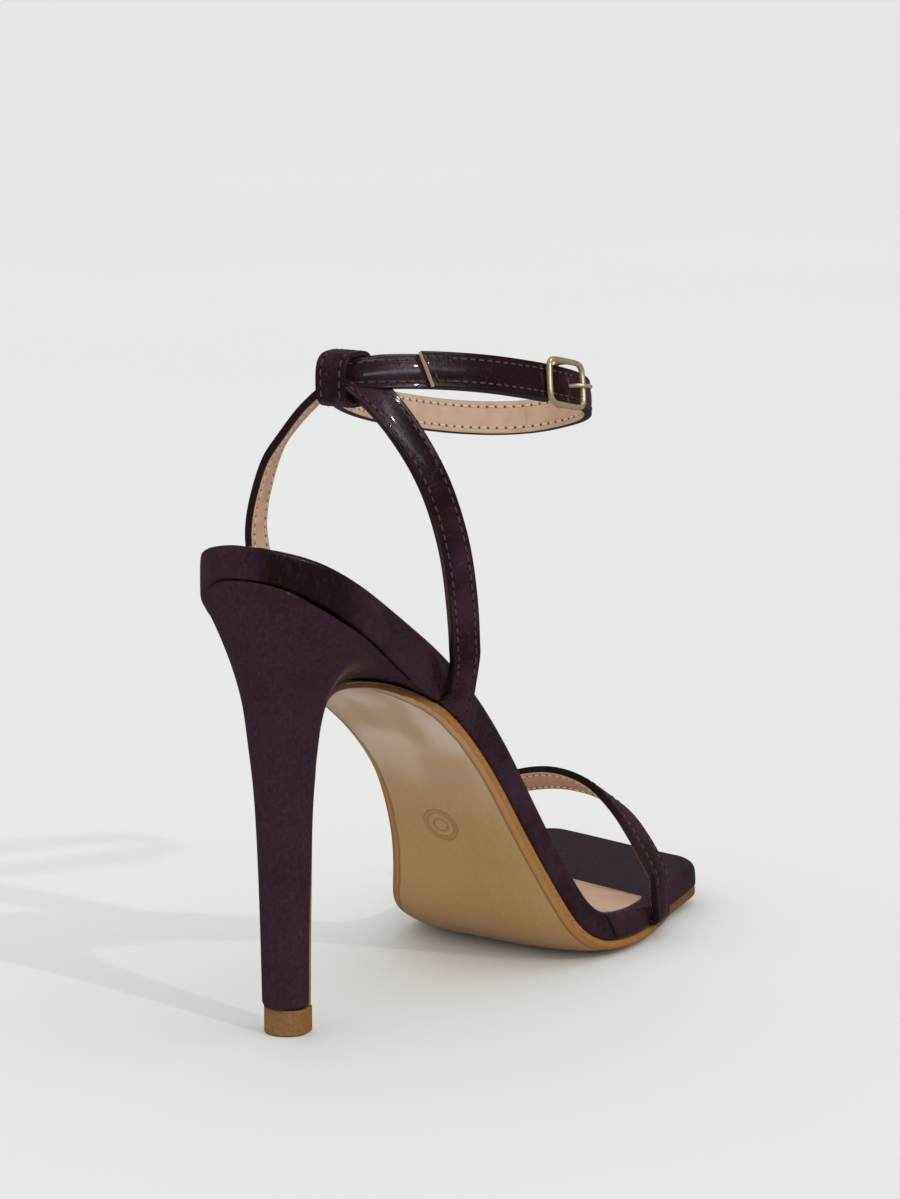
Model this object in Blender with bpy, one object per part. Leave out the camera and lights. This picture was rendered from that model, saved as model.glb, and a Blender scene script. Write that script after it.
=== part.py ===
"""Strappy heeled sandal for the right foot, on a tall covered stiletto heel.

Metres in Blender, millimetres in this file. +X points to the toe, +Y to the wearer's left,
which is the inner side of a right foot, and +Z up. The origin is on the flat of the heel tip.
"""
import math

import bmesh
import bpy
from mathutils import Vector

MM = 0.001

# Clearance between pieces that touch on the real shoe
GAP = 0.3

# Footbed and its outline
FOOTBED_LENGTH = 193.0      # from the back of the seat to the middle of the toe edge
SEAT_BACK = 20.0            # the back of the seat stands this far behind the heel tip
SEAT_RISE = 109.5           # height of the seat's underside above the tread, at the back
SEAT_RADIUS = 21.7          # round of the seat in plan
BALL_WIDTH = 68.0
FOOTBED_THICKNESS = 8.8
FOOTBED_ROUND = 2.3         # round of the footbed's upper edge
FOOTBED_CHAMFER = 0.5
TOE_SKEW = 0.30             # slant of the ball line and of the square toe
BALL_BOW = 0.70             # the ball line bends forward on both sides
TOE_CORNER = 8.0

# Outsole, with the tongue of sole leather that runs down the heel breast
OUTSOLE_THICKNESS = 1.6     # at the inner edge
OUTSOLE_CROWN = 1.9         # the tread is this much thicker along its middle
OUTER_CROWN = 0.35          # share of the crown at the outer edge
BREAST_THICKNESS = 1.4
OUTSOLE_CHAMFER = 0.6
OUTSOLE_INSET = 0.2
BREAST_REACH = 38.0         # the heel breast starts this far ahead of the heel tip

# Heel and its tip
HEEL_INSET = 0.7
HEEL_LENGTH = 58.0          # from the back of the seat to the breast, at the top
HEEL_HALF_WIDTH = 21.0
TIP_HEIGHT = 6.4
TIP_LENGTH = 8.8
TIP_WIDTH = 10.8
TIP_CHAMFER = 0.4
TIP_AXIS = -1.4             # middle of the tip's round back

# Lining sheet on the footbed
LINING_THICKNESS = 0.7
LINING_MARGIN = 3.4
LINING_LENGTH = 145.0

# Straps
STRAP_WIDTH = 8.2
STRAP_THICKNESS = 1.9
TOE_STRAP_WIDTH = 9.2
TAB_THICKNESS = 1.2         # the strap ends are thinned where they go under the footbed
TAB_LENGTH = 6.0
TAB_BEND = 1.5
TOE_STRAP_RISE = 35.4
STRAP_RISE = 153.5          # height of the crossing behind the ankle
TOE_STRAP_OUTER = 146.3     # where the toe strap starts, from the back of the seat
TOE_STRAP_INNER = 147.0
SLING_OUTER = 60.0          # where the sling starts, from the back of the seat
SLING_INNER = 63.5

# Ankle strap
ANKLE_LENGTH = 72.6         # inside the closed ring, front to back
ANKLE_WIDTH = 40.6
ANKLE_TURN = -15.9          # degrees, the ring swings to the outer side
ANKLE_DROP = 0.296          # fall per unit of length towards the toe
ANKLE_LEAN = 0.227          # fall per unit of width towards the inner side
ANKLE_CORNER = 0.8          # roundness of the ring at the front: 1 is an ellipse, less is squarer
ANKLE_LAP = 2.6             # the free end lies this far outside the strap under it
BUCKLE_ANGLE = 111.5        # place on the ring, in degrees from the crossing
TAIL_ANGLE = 52.0
TAIL_SLANT = 3.2
TAIL_WIDTH = 8.6            # the ankle strap widens towards its free end

# Buckle
BUCKLE_LENGTH = 14.4
BUCKLE_TILT = 4.5           # degrees, the frame's front end stands off the strap
BUCKLE_WIRE = 1.6
BUCKLE_BAR = 1.2
PRONG_WIRE = 1.1
PRONG_HOLE = 2.2

# Keeper round the crossing
KEEPER_LENGTH = 8.0
KEEPER_DEPTH = 13.8
KEEPER_HEIGHT = 13.2
KEEPER_THICKNESS = 1.1
KEEPER_PINCH = 0.90         # the straps are squeezed to this share of their width inside it

# Footbed sections. along: share of the footbed's length. rise: share of the seat's rise.
# outer, inner: half widths as shares of the ball width. thick: share of the footbed's thickness.
FOOTBED_TABLE = [
    # along, rise,  outer, inner, thick
    (0.000, 1.000, 0.320, 0.314, 0.950),
    (0.008, 0.989, 0.320, 0.314, 0.950),
    (0.020, 0.973, 0.320, 0.314, 1.000),
    (0.040, 0.945, 0.320, 0.314, 1.150),
    (0.070, 0.903, 0.320, 0.314, 1.260),
    (0.135, 0.828, 0.322, 0.314, 1.300),
    (0.207, 0.748, 0.318, 0.290, 1.280),
    (0.280, 0.668, 0.315, 0.235, 1.220),
    (0.352, 0.567, 0.330, 0.180, 1.110),
    (0.412, 0.444, 0.358, 0.152, 1.020),
    (0.464, 0.299, 0.396, 0.180, 0.960),
    (0.512, 0.171, 0.435, 0.255, 0.900),
    (0.556, 0.061, 0.472, 0.358, 0.840),
    (0.596, 0.014, 0.499, 0.406, 0.790),
    (0.632, 0.002, 0.517, 0.438, 0.760),
    (0.664, 0.000, 0.524, 0.455, 0.745),
    (0.790, 0.000, 0.488, 0.478, 0.720),
    (0.860, 0.002, 0.448, 0.470, 0.710),
    (0.930, 0.006, 0.420, 0.448, 0.700),
    (1.000, 0.012, 0.402, 0.420, 0.700),
]

# Tread across the outsole. share: place across, from -1 at the outer edge to 1 at the inner one.
# deep: share of the crown.
TREAD_TABLE = [
    # share, deep
    (0.86, 0.52),
    (0.66, 0.92),
    (0.45, 1.00),
    (-0.45, 1.00),
    (-0.66, 0.92),
    (-0.86, 0.72),
]

# Upper face of the sole leather down the breast. ahead: share of the breast's reach.
# rise: share of the height from the tip to the seat. outer, inner: shares of the heel's half
# width.
BREAST_TABLE = [
    # ahead, rise, outer, inner
    (0.790, 0.679, 0.770, 0.640),
    (0.575, 0.706, 0.570, 0.520),
    (0.395, 0.711, 0.368, 0.358),
    (0.253, 0.692, 0.278, 0.274),
    (0.150, 0.644, 0.256, 0.256),
    (0.087, 0.576, 0.252, 0.252),
    (0.056, 0.470, 0.250, 0.250),
    (0.040, 0.311, 0.250, 0.250),
    (0.026, 0.142, 0.250, 0.250),
    (0.019, 0.000, 0.250, 0.250),
]

# Heel sections below the seat. place: row of the breast table that the front edge lies on.
# back, widest: shares of the heel's top length, from the origin. rise: share of the height from
# the tip to the seat, at the back. half: share of the heel's half width.
HEEL_TABLE = [
    # place, back, rise, widest, half
    (0.45, -0.326, 0.949, 0.043, 0.920),
    (1.00, -0.311, 0.902, 0.034, 0.812),
    (2.00, -0.286, 0.850, 0.017, 0.698),
    (3.00, -0.251, 0.784, 0.000, 0.575),
    (4.00, -0.211, 0.704, -0.009, 0.476),
    (5.00, -0.182, 0.605, -0.014, 0.419),
    (6.00, -0.152, 0.478, -0.017, 0.357),
    (7.00, -0.131, 0.310, -0.017, 0.324),
    (8.00, -0.122, 0.142, -0.019, 0.298),
    (9.00, -0.117, 0.000, -0.022, 0.281),
]

# Toe strap's middle line. ahead: share of the ball width ahead of the line between its two ends.
# across: share of the ball width. rise: share of the strap's rise.
# tilt: degrees that its face leans towards the toe.
TOE_STRAP_TABLE = [
    # ahead, across, rise, tilt
    (0.000, -0.512, 0.380, 7.0),
    (0.000, -0.432, 0.610, 8.0),
    (0.004, -0.318, 0.840, 17.0),
    (0.010, -0.176, 0.975, 32.0),
    (0.012, 0.000, 1.000, 40.0),
    (0.010, 0.187, 0.915, 37.0),
    (0.004, 0.353, 0.760, 30.0),
    (0.000, 0.470, 0.560, 22.0),
    (0.000, 0.515, 0.360, 16.0),
]

# Sling's middle line. ahead: share of the footbed's length from the heel tip. across: share of
# the ball width. rise: share of the crossing's height. turn: degrees from the side towards the
# back that its face looks. lift: degrees that the face looks up.
SLING_TABLE = [
    # ahead, across, rise, turn, lift
    (0.209, -0.372, 0.560, 24.0, 2.0),
    (0.192, -0.388, 0.645, 27.0, 4.0),
    (0.175, -0.382, 0.742, 26.0, 7.0),
    (0.159, -0.333, 0.838, 25.0, 13.0),
    (0.147, -0.240, 0.917, 32.0, 24.0),
    (0.138, -0.123, 0.977, 58.0, 38.0),
    (0.132, 0.000, 1.000, 128.0, 58.0),
    (0.137, 0.100, 0.970, 164.0, 60.0),
    (0.148, 0.238, 0.912, 166.0, 38.0),
    (0.161, 0.345, 0.852, 172.0, 20.0),
    (0.174, 0.425, 0.743, 176.0, 8.0),
    (0.192, 0.405, 0.640, 179.0, 4.0),
    (0.213, 0.325, 0.548, 180.0, 2.0),
]


def clear_scene():
    """Remove every object so that the script gives the same model each time."""
    for item in list(bpy.data.objects):
        bpy.data.objects.remove(item, do_unlink=True)


def make_collection(name):
    """Make a collection in the scene."""
    group = bpy.data.collections.new(name)
    bpy.context.scene.collection.children.link(group)
    return group


def make_material(name, color, roughness, metallic=0.0):
    """Make a plain material."""
    material = bpy.data.materials.new(name)
    material.use_nodes = True
    shader = material.node_tree.nodes["Principled BSDF"]
    shader.inputs["Base Color"].default_value = (*color, 1.0)
    shader.inputs["Roughness"].default_value = roughness
    shader.inputs["Metallic"].default_value = metallic
    material.diffuse_color = (*color, 1.0)
    return material


def table_value(table, column, at):
    """Read one column of a table at a place between its rows, smoothly and without overshoot."""
    xs = [row[0] for row in table]
    ys = [row[column] for row in table]
    if at <= xs[0]:
        return ys[0]
    if at >= xs[-1]:
        return ys[-1]
    steps = [xs[i + 1] - xs[i] for i in range(len(xs) - 1)]
    rates = [(ys[i + 1] - ys[i]) / steps[i] for i in range(len(steps))]
    slopes = [rates[0]]
    for i in range(1, len(steps)):
        before, after = rates[i - 1], rates[i]
        if before * after <= 0.0:
            slopes.append(0.0)
        else:
            first = 2.0 * steps[i] + steps[i - 1]
            second = steps[i] + 2.0 * steps[i - 1]
            slopes.append((first + second) / (first / before + second / after))
    slopes.append(rates[-1])
    i = max(k for k in range(len(steps)) if xs[k] <= at)
    t = (at - xs[i]) / steps[i]
    start = ys[i] * (1.0 + 2.0 * t) * (1.0 - t) ** 2 + slopes[i] * steps[i] * t * (1.0 - t) ** 2
    end = ys[i + 1] * t * t * (3.0 - 2.0 * t) + slopes[i + 1] * steps[i] * t * t * (t - 1.0)
    return start + end


def ease(value):
    """Go smoothly from 0 to 1."""
    value = min(1.0, max(0.0, value))
    return value * value * (3.0 - 2.0 * value)


def curve_at(points, place):
    """Read a curve through rows of numbers at a place, where each whole number is a row."""
    i = min(len(points) - 2, max(0, int(place)))
    t = place - i
    before = points[max(0, i - 1)]
    after = points[min(len(points) - 1, i + 2)]
    row = []
    for a, b, c, d in zip(before, points[i], points[i + 1], after):
        linear = 0.5 * (c - a) * t
        square = (a - 2.5 * b + 2.0 * c - 0.5 * d) * t * t
        cube = 0.5 * (d - a + 3.0 * (b - c)) * t ** 3
        row.append(b + linear + square + cube)
    return row


def smooth_points(points, steps):
    """Pass a curve through rows of numbers, with the same number of steps between them."""
    return [curve_at(points, k / steps) for k in range((len(points) - 1) * steps + 1)]


def add_loft(group, name, loops, material, closed=False):
    """Join closed loops of equal length into one solid, with its two ends filled."""
    mesh = bmesh.new()
    rows = [[mesh.verts.new(point * MM) for point in loop] for loop in loops]
    count = len(loops[0])
    spans = len(rows) if closed else len(rows) - 1
    for i in range(spans):
        here, there = rows[i], rows[(i + 1) % len(rows)]
        for k in range(count):
            n = (k + 1) % count
            mesh.faces.new((here[k], here[n], there[n], there[k]))
    if not closed:
        for row in (rows[0], rows[-1]):
            for k in range(count // 2):
                corners = [row[k], row[k + 1], row[count - 2 - k], row[count - 1 - k]]
                unique = list(dict.fromkeys(corners))
                if len(unique) > 2:
                    mesh.faces.new(unique)
    bmesh.ops.recalc_face_normals(mesh, faces=mesh.faces)
    data = bpy.data.meshes.new(name)
    mesh.to_mesh(data)
    mesh.free()
    data.shade_smooth()
    data.set_sharp_from_angle(angle=math.radians(35.0))
    piece = bpy.data.objects.new(name, data)
    group.objects.link(piece)
    if material:
        data.materials.append(material)
    return piece


def hide_cutter(cutter):
    """Keep a cutting shape out of sight."""
    cutter.hide_render = True
    cutter.display_type = "WIRE"


def add_boolean(piece, cutter, operation):
    """Cut a piece with another, or join it on."""
    step = piece.modifiers.new(operation.lower(), "BOOLEAN")
    step.operation = operation
    step.object = cutter
    hide_cutter(cutter)


def station(from_back):
    """Turn a length from the back of the seat into a place along X."""
    return from_back - SEAT_BACK


def skew_at(x):
    """Slant of a section line at a place along X, from none at the seat to the toe's own."""
    return TOE_SKEW * ease(2.8 * (x + SEAT_BACK) / FOOTBED_LENGTH - 1.15)


def slant(x, y):
    """How far a section line lies ahead of its middle, at a place across the footbed."""
    share = (x + SEAT_BACK) / FOOTBED_LENGTH
    bow = BALL_BOW * ease(2.8 * share - 1.15) * (1.0 - ease(3.0 * share - 1.9))
    return skew_at(x) * y + bow * y * y / BALL_WIDTH


def half_width(x, side):
    """Half width of the footbed on one side, with its round seat and its toe corners."""
    from_back = x + SEAT_BACK
    width = BALL_WIDTH * table_value(FOOTBED_TABLE, 2 if side < 0 else 3, from_back / FOOTBED_LENGTH)
    if from_back < SEAT_RADIUS:
        width *= math.sqrt(max(0.0, 1.0 - (1.0 - from_back / SEAT_RADIUS) ** 2))
    from_toe = FOOTBED_LENGTH - from_back
    if from_toe < TOE_CORNER:
        width -= TOE_CORNER - math.sqrt(max(0.0, TOE_CORNER ** 2 - (TOE_CORNER - from_toe) ** 2))
    return width


def tread_depth():
    """Height of the footbed's underside above the floor, under the ball."""
    return OUTSOLE_THICKNESS + OUTSOLE_CROWN + GAP


def underside(x):
    """Height of the footbed's underside at a place along X."""
    share = (x + SEAT_BACK) / FOOTBED_LENGTH
    return tread_depth() + SEAT_RISE * table_value(FOOTBED_TABLE, 1, share)


def bed_normal(x, upright):
    """Direction across the footbed's thickness. The wall of the seat stands upright."""
    slope = underside(x + 0.5) - underside(x - 0.5)
    normal = Vector((-slope, 0.0, 1.0)).normalized()
    if upright:
        normal.x *= ease((x + 5.0) / 60.0)
    return normal.normalized()


def outline_point(x, side):
    """Point of the outline in plan."""
    across = side * half_width(x, side)
    return Vector((x + slant(x, across), across, 0.0))


def outward(x, side):
    """Direction that the outline faces, in plan."""
    first, last = station(0.0), station(FOOTBED_LENGTH)
    here = outline_point(max(first, x - 0.04), side)
    there = outline_point(min(last, x + 0.04), side)
    along = (there - here).normalized()
    return Vector((along.y * -side, along.x * side, 0.0))


def inset_point(x, side, inset):
    """Point in plan at an inset from the outline, with the middle of its section line."""
    point = outline_point(x, side) - outward(x, side) * inset
    return point, point.x - slant(x, point.y)


def rim_point(x, side, inset, height, upright=False, on_top=False):
    """Point at an inset from the outline and at a height above the footbed's underside or top."""
    point, middle = inset_point(x, side, inset)
    point.z = underside(middle)
    return point + bed_normal(middle, upright) * (height + footbed_top(middle) * on_top)


def inner_point(x, inset, share, height, upright=False, on_top=False):
    """Point on a section line, at a share of the half width on the outer or the inner side."""
    outer, from_outer = inset_point(x, -1, inset)
    inner, from_inner = inset_point(x, 1, inset)
    y = share * half_width(x, -1 if share < 0.0 else 1)
    middle = from_outer + (from_inner - from_outer) * (y - outer.y) / (inner.y - outer.y)
    point = Vector((middle + slant(middle, y), y, underside(middle)))
    return point + bed_normal(middle, upright) * (height + footbed_top(middle) * on_top)


def footbed_stations(first, last):
    """Places along X for sections, close together at the round seat and the toe corners."""
    places = [station(SEAT_RADIUS * share) for share in (0.014, 0.06, 0.14, 0.26, 0.42, 0.62, 0.82)]
    span = FOOTBED_LENGTH - SEAT_RADIUS - TOE_CORNER
    places += [station(SEAT_RADIUS + span * i / 31) for i in range(32)]
    places += [station(FOOTBED_LENGTH - TOE_CORNER * share) for share in (0.6, 0.3, 0.1, 0.012)]
    inside = [place for place in places if first < place < last]
    return [first] + inside + [last]


def footbed_top(x):
    """Thickness of the footbed at a place along X."""
    share = (x + SEAT_BACK) / FOOTBED_LENGTH
    return FOOTBED_THICKNESS * table_value(FOOTBED_TABLE, 4, share)


def slab_loop(x, inset, bottom, top, low_edge, high_edge, on_top):
    """Section of a slab that follows the footbed, with a chamfer below and a round above. Its
    top is measured from the footbed's top, its bottom from there too or from the underside."""
    steps = [(low_edge, bottom, on_top), (0.0, bottom + low_edge, on_top)]
    for angle in (0.0, 30.0, 60.0, 90.0):
        turn = math.radians(angle)
        steps.append((high_edge * (1.0 - math.cos(turn)), top - high_edge * (1.0 - math.sin(turn)), True))
    outer = [rim_point(x, -1, inset + step, height, True, flag) for step, height, flag in steps]
    over = [inner_point(x, inset + high_edge, share, top, True, True) for share in (-0.55, 0.0, 0.55)]
    inner = [rim_point(x, 1, inset + step, height, True, flag) for step, height, flag in reversed(steps)]
    under = [inner_point(x, inset + low_edge, share, bottom, True, on_top) for share in (0.55, 0.0, -0.55)]
    return outer + over + inner + under


def build_footbed(group, material):
    """Footbed wrapped in leather: a slab with an upright wall and a rounded upper edge."""
    loops = []
    edge = SEAT_RADIUS * 0.014
    for x in footbed_stations(station(edge), station(FOOTBED_LENGTH)):
        loops.append(slab_loop(x, 0.0, 0.0, 0.0, FOOTBED_CHAMFER, FOOTBED_ROUND, False))
    return add_loft(group, "footbed", loops, material)


def build_lining(group, material):
    """Lining sheet on the footbed, from the seat to the ball, set in from the edge."""
    loops = []
    first = station(SEAT_RADIUS * 0.014)
    for x in footbed_stations(first, station(LINING_LENGTH)):
        loops.append(slab_loop(x, LINING_MARGIN, 1.5 * GAP, 1.5 * GAP + LINING_THICKNESS, 0.15, 0.35, True))
    return add_loft(group, "footbed_lining", loops, material)


def heel_height(rise):
    """Turn a share of the heel's rise, from the tip to the back of the seat, into a height."""
    foot = TIP_HEIGHT + GAP
    return foot + (underside(station(0.0)) - foot) * rise


def breast_rows():
    """Upper face of the sole leather: two places on the waist, then the rows of its table."""
    rows = []
    for x in (BREAST_REACH + 8.0, BREAST_REACH):
        rows.append((x, underside(x) - GAP, half_width(x, -1), half_width(x, 1)))
    for ahead, rise, outer, inner in BREAST_TABLE:
        half = (HEEL_HALF_WIDTH * outer, HEEL_HALF_WIDTH * inner)
        rows.append((BREAST_REACH * ahead, heel_height(rise), *half))
    return rows


def build_outsole(group, material):
    """Outsole with a flat tread under the ball, an arched waist and the tongue on the breast."""
    thick = OUTSOLE_THICKNESS
    loops = []
    places = footbed_stations(BREAST_REACH + 1.0, station(FOOTBED_LENGTH - OUTSOLE_INSET))
    for x in reversed(places):
        loops.append(outsole_loop(x, thick))
    rows = smooth_points(breast_rows(), 3)[3:]
    for i in range(1, len(rows)):
        x, z, outer, inner = rows[i]
        before = rows[i - 1]
        after = rows[min(i + 1, len(rows) - 1)]
        along = Vector((after[0] - before[0], 0.0, after[1] - before[1])).normalized()
        face = Vector((along.z, 0.0, -along.x))
        share = ease(i / (len(rows) - 1) * 1.8)
        deep = OUTSOLE_THICKNESS + (BREAST_THICKNESS - OUTSOLE_THICKNESS) * share
        top = Vector((x, 0.0, z))
        edge = OUTSOLE_CHAMFER * deep / OUTSOLE_THICKNESS
        crown = OUTSOLE_CROWN * (1.0 - ease(i / 9.0))
        low = deep + crown * OUTER_CROWN
        steps = [(edge, low), (0.0, low - edge), (0.0, 0.0)]
        left = [top - face * low + Vector((0.0, OUTSOLE_INSET + step - outer, 0.0)) for step, low in steps]
        steps = [(0.0, 0.0), (0.0, deep - edge), (edge, deep)]
        right = [top - face * low + Vector((0.0, inner - step - OUTSOLE_INSET, 0.0)) for step, low in steps]
        over = [top + Vector((0.0, y, 0.0)) for y in (-0.55 * outer, 0.0, 0.55 * inner)]
        tread = []
        for share, low in TREAD_TABLE:
            across = Vector((0.0, share * (outer if share < 0.0 else inner), 0.0))
            tread.append(top - face * (deep + crown * low) + across)
        loops.append(left + over + right + tread)
    return add_loft(group, "outsole", loops, material)


def outsole_loop(x, thick):
    """Section of the outsole under the footbed: its tread is flat in the middle and rises a
    little to both edges."""
    low = -GAP - thick - OUTSOLE_CROWN * OUTER_CROWN
    steps = [(OUTSOLE_CHAMFER, low), (0.0, low + OUTSOLE_CHAMFER), (0.0, -GAP)]
    outer = [rim_point(x, -1, OUTSOLE_INSET + step, height) for step, height in steps]
    low = -GAP - thick
    steps = [(0.0, -GAP), (0.0, low + OUTSOLE_CHAMFER), (OUTSOLE_CHAMFER, low)]
    inner = [rim_point(x, 1, OUTSOLE_INSET + step, height) for step, height in steps]
    over = [inner_point(x, OUTSOLE_INSET, share, -GAP) for share in (-0.55, 0.0, 0.55)]
    tread = []
    for share, deep in TREAD_TABLE:
        height = -GAP - thick - OUTSOLE_CROWN * deep
        tread.append(inner_point(x, OUTSOLE_INSET, share, height))
    return outer + over + inner + tread


def breast_front(place):
    """Front edge of the heel on the sole leather: its x, its height and its two half widths."""
    rows = breast_rows()
    x, z, outer, inner = curve_at(rows, place + 2.0)
    before, after = curve_at(rows, place + 1.95), curve_at(rows, min(len(rows) - 1.0, place + 2.05))
    along = Vector((after[0] - before[0], 0.0, after[1] - before[1])).normalized()
    return x + along.z * GAP, z - along.x * GAP, outer, inner


def heel_side(i, count):
    """Side of a point on a heel section and its share of the way from the back to the front."""
    return -1 if 2 * i < count - 1 else 1, abs(2.0 * i / (count - 1) - 1.0) ** 1.5


def heel_loop(row, count):
    """One section of the heel: round at the back, drawn in to the breast."""
    place, back, rise, widest, half = row
    x_back, x_wide = HEEL_LENGTH * back, HEEL_LENGTH * widest
    x_front, z_front, outer, inner = breast_front(place)
    widest = HEEL_HALF_WIDTH * half
    points = []
    for i in range(count):
        side, share = heel_side(i, count)
        x = x_back + (x_front - x_back) * share
        corner = outer if side < 0 else inner
        if x < x_wide:
            width = widest * math.sqrt(max(0.0, 1.0 - ((x_wide - x) / (x_wide - x_back)) ** 2))
        else:
            width = widest + (corner - widest) * ease((x - x_wide) / (x_front - x_wide))
        z = heel_height(rise)
        points.append(Vector((x, side * width, z + (z_front - z) * share)))
    return points


def build_heel(group, material):
    """Covered heel: its top lies under the seat, its front on the sole leather."""
    count = 27
    top = []
    first = station(0.3)
    last = breast_front(HEEL_TABLE[0][0])[0]
    for i in range(count):
        side, share = heel_side(i, count)
        point = rim_point(first + (last - first) * share, side, HEEL_INSET, -GAP)
        if 2 * i == count - 1:
            point = rim_point(first, side, HEEL_INSET, -GAP)
            point.y = 0.0
        top.append(point)
    loops = [top] + [heel_loop(row, count) for row in smooth_points(HEEL_TABLE, 3)]
    return add_loft(group, "heel", loops, material)


def build_heel_tip(group, material):
    """Rubber tip: a flat plug with a round back and a straight front."""
    loops = []
    levels = ((0.0, TIP_CHAMFER), (TIP_CHAMFER, 0.0), (TIP_HEIGHT, 0.0))
    for height, inset in levels:
        loop = []
        for i in range(17):
            turn = math.pi * i / 16
            half = TIP_WIDTH / 2.0 - inset
            x = TIP_AXIS - (TIP_LENGTH * 0.56 - inset) * math.sin(turn)
            loop.append(Vector((x, -half * math.cos(turn), height)))
        front = TIP_AXIS + TIP_LENGTH * 0.44 - inset
        loop.append(Vector((front, (TIP_WIDTH / 2.0 - inset) * 0.9, height)))
        loop.insert(0, Vector((front, -(TIP_WIDTH / 2.0 - inset) * 0.9, height)))
        loops.append(loop)
    return add_loft(group, "heel_tip", loops, material)


def band_loop(middle, wide, thick):
    """Section of a strap from its middle, its width vector and its thickness vector."""
    bevel = 0.28
    points = []
    for across, deep in ((-1, -1), (-1, 1), (1, 1), (1, -1)):
        corner = middle + wide * (0.5 * across) + thick * (0.5 * deep)
        in_wide = wide.normalized() * (-across * bevel)
        in_thick = thick.normalized() * (-deep * bevel)
        pair = [corner + in_wide, corner + in_thick]
        if across * deep < 0:
            pair.reverse()
        points += pair
    return points


def pinch_at(point):
    """Share of a strap's width that is left by the squeeze of the keeper."""
    away = (point - crossing()).length
    return 1.0 - (1.0 - KEEPER_PINCH) * (1.0 - ease((away - KEEPER_LENGTH / 2.0 - 0.6) / 6.0))


def band_stations(middles, faces, width, thickness):
    """Sections of a strap along its middle line. Each face vector points out of the strap."""
    loops = []
    for i, middle in enumerate(middles):
        before = middles[max(0, i - 1)]
        after = middles[min(len(middles) - 1, i + 1)]
        along = (after - before).normalized()
        face = (faces[i] - along * faces[i].dot(along)).normalized()
        loops.append((middle, along.cross(face) * width * pinch_at(middle), face * thickness))
    return loops


def tab_frame(x, side):
    """Lower corner of the footbed's wall, with the directions along it, up the wall and out."""
    corner = rim_point(x, side, 0.0, 0.0)
    up = bed_normal(x, False)
    edge = rim_point(x + 1.0, side, 0.0, 0.0) - rim_point(x - 1.0, side, 0.0, 0.0)
    edge = (edge - up * edge.dot(up)).normalized() * -side
    return corner, edge, up, edge.cross(up)


def slanted(edge, along, width):
    """Width vector of a strap that is cut off along an edge."""
    return edge * (width / edge.normalized().cross(along.normalized()).length / edge.length)


def fold_point(x, side):
    """Place where a strap's middle line starts to bend under the footbed."""
    corner, edge, up, out = tab_frame(x, side)
    return corner + up * (TAB_BEND + TAB_THICKNESS / 2.0) + out * (GAP + STRAP_THICKNESS / 2.0)


def tab_stations(x, side, width, first):
    """End of a strap: down the footbed's wall, round its lower edge and under it."""
    corner, edge, up, out = tab_frame(x, side)
    if edge.dot(first[1]) < 0.0:
        edge = -edge
    fold = fold_point(x, side)
    bend = fold.lerp(first[0], 0.5) + out * 0.15
    stations = []
    for share in (0.8, 0.6, 0.4, 0.2, 0.0):
        middle = fold.lerp(bend, share).lerp(bend.lerp(first[0], share), share)
        run = bend.lerp(first[0], share) - fold.lerp(bend, share)
        face = out.lerp(first[2].normalized(), share).normalized()
        lean = edge.lerp(first[1].normalized(), share)
        stations.append((middle, slanted(lean, run, width), face * STRAP_THICKNESS))
    wide = stations[-1][1]
    center = fold - out * TAB_BEND
    for angle in (30.0, 60.0, 90.0):
        turn = math.radians(angle)
        thin = STRAP_THICKNESS + (TAB_THICKNESS - STRAP_THICKNESS) * angle / 90.0
        ray = out * math.cos(turn) - up * math.sin(turn)
        stations.append((center + ray * TAB_BEND, wide, ray * thin))
    end = stations[-1]
    stations.append((end[0] - out * TAB_LENGTH, wide, end[2]))
    return stations


def tab_cutter(group, name, x, side, wide):
    """Pocket in the footbed's lower edge for a strap end."""
    corner, edge, up, out = tab_frame(x, side)
    half = wide / 2.0 + 2.0 * GAP
    deep = TAB_LENGTH + TAB_BEND + 2.0 * GAP
    tall = TAB_THICKNESS + 2.0 * GAP
    loops = []
    for across in (-half, half):
        corners = ((3.0, -2.0), (3.0, tall), (-deep, tall), (-deep, -2.0))
        loops.append([corner + edge * across + out * a + up * b for a, b in corners])
    cutter = add_loft(group, name, loops, None)
    hide_cutter(cutter)
    return cutter


def add_strap(group, cutters, footbed, name, body, ends, width, material):
    """Finish a strap with its two tabs, and cut their pockets in the footbed."""
    (x_outer, side_outer), (x_inner, side_inner) = ends
    start = tab_stations(x_outer, side_outer, width, body[0])
    end = tab_stations(x_inner, side_inner, width, body[-1])
    for (x, side), rows, place in ((ends[0], start, "outer"), (ends[1], end, "inner")):
        cutter = tab_cutter(cutters, f"{name}_pocket_{place}", x, side, rows[-1][1].length)
        add_boolean(footbed, cutter, "DIFFERENCE")
    rows = list(reversed(start)) + body + end
    return add_loft(group, name, [band_loop(*row) for row in rows], material)


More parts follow.
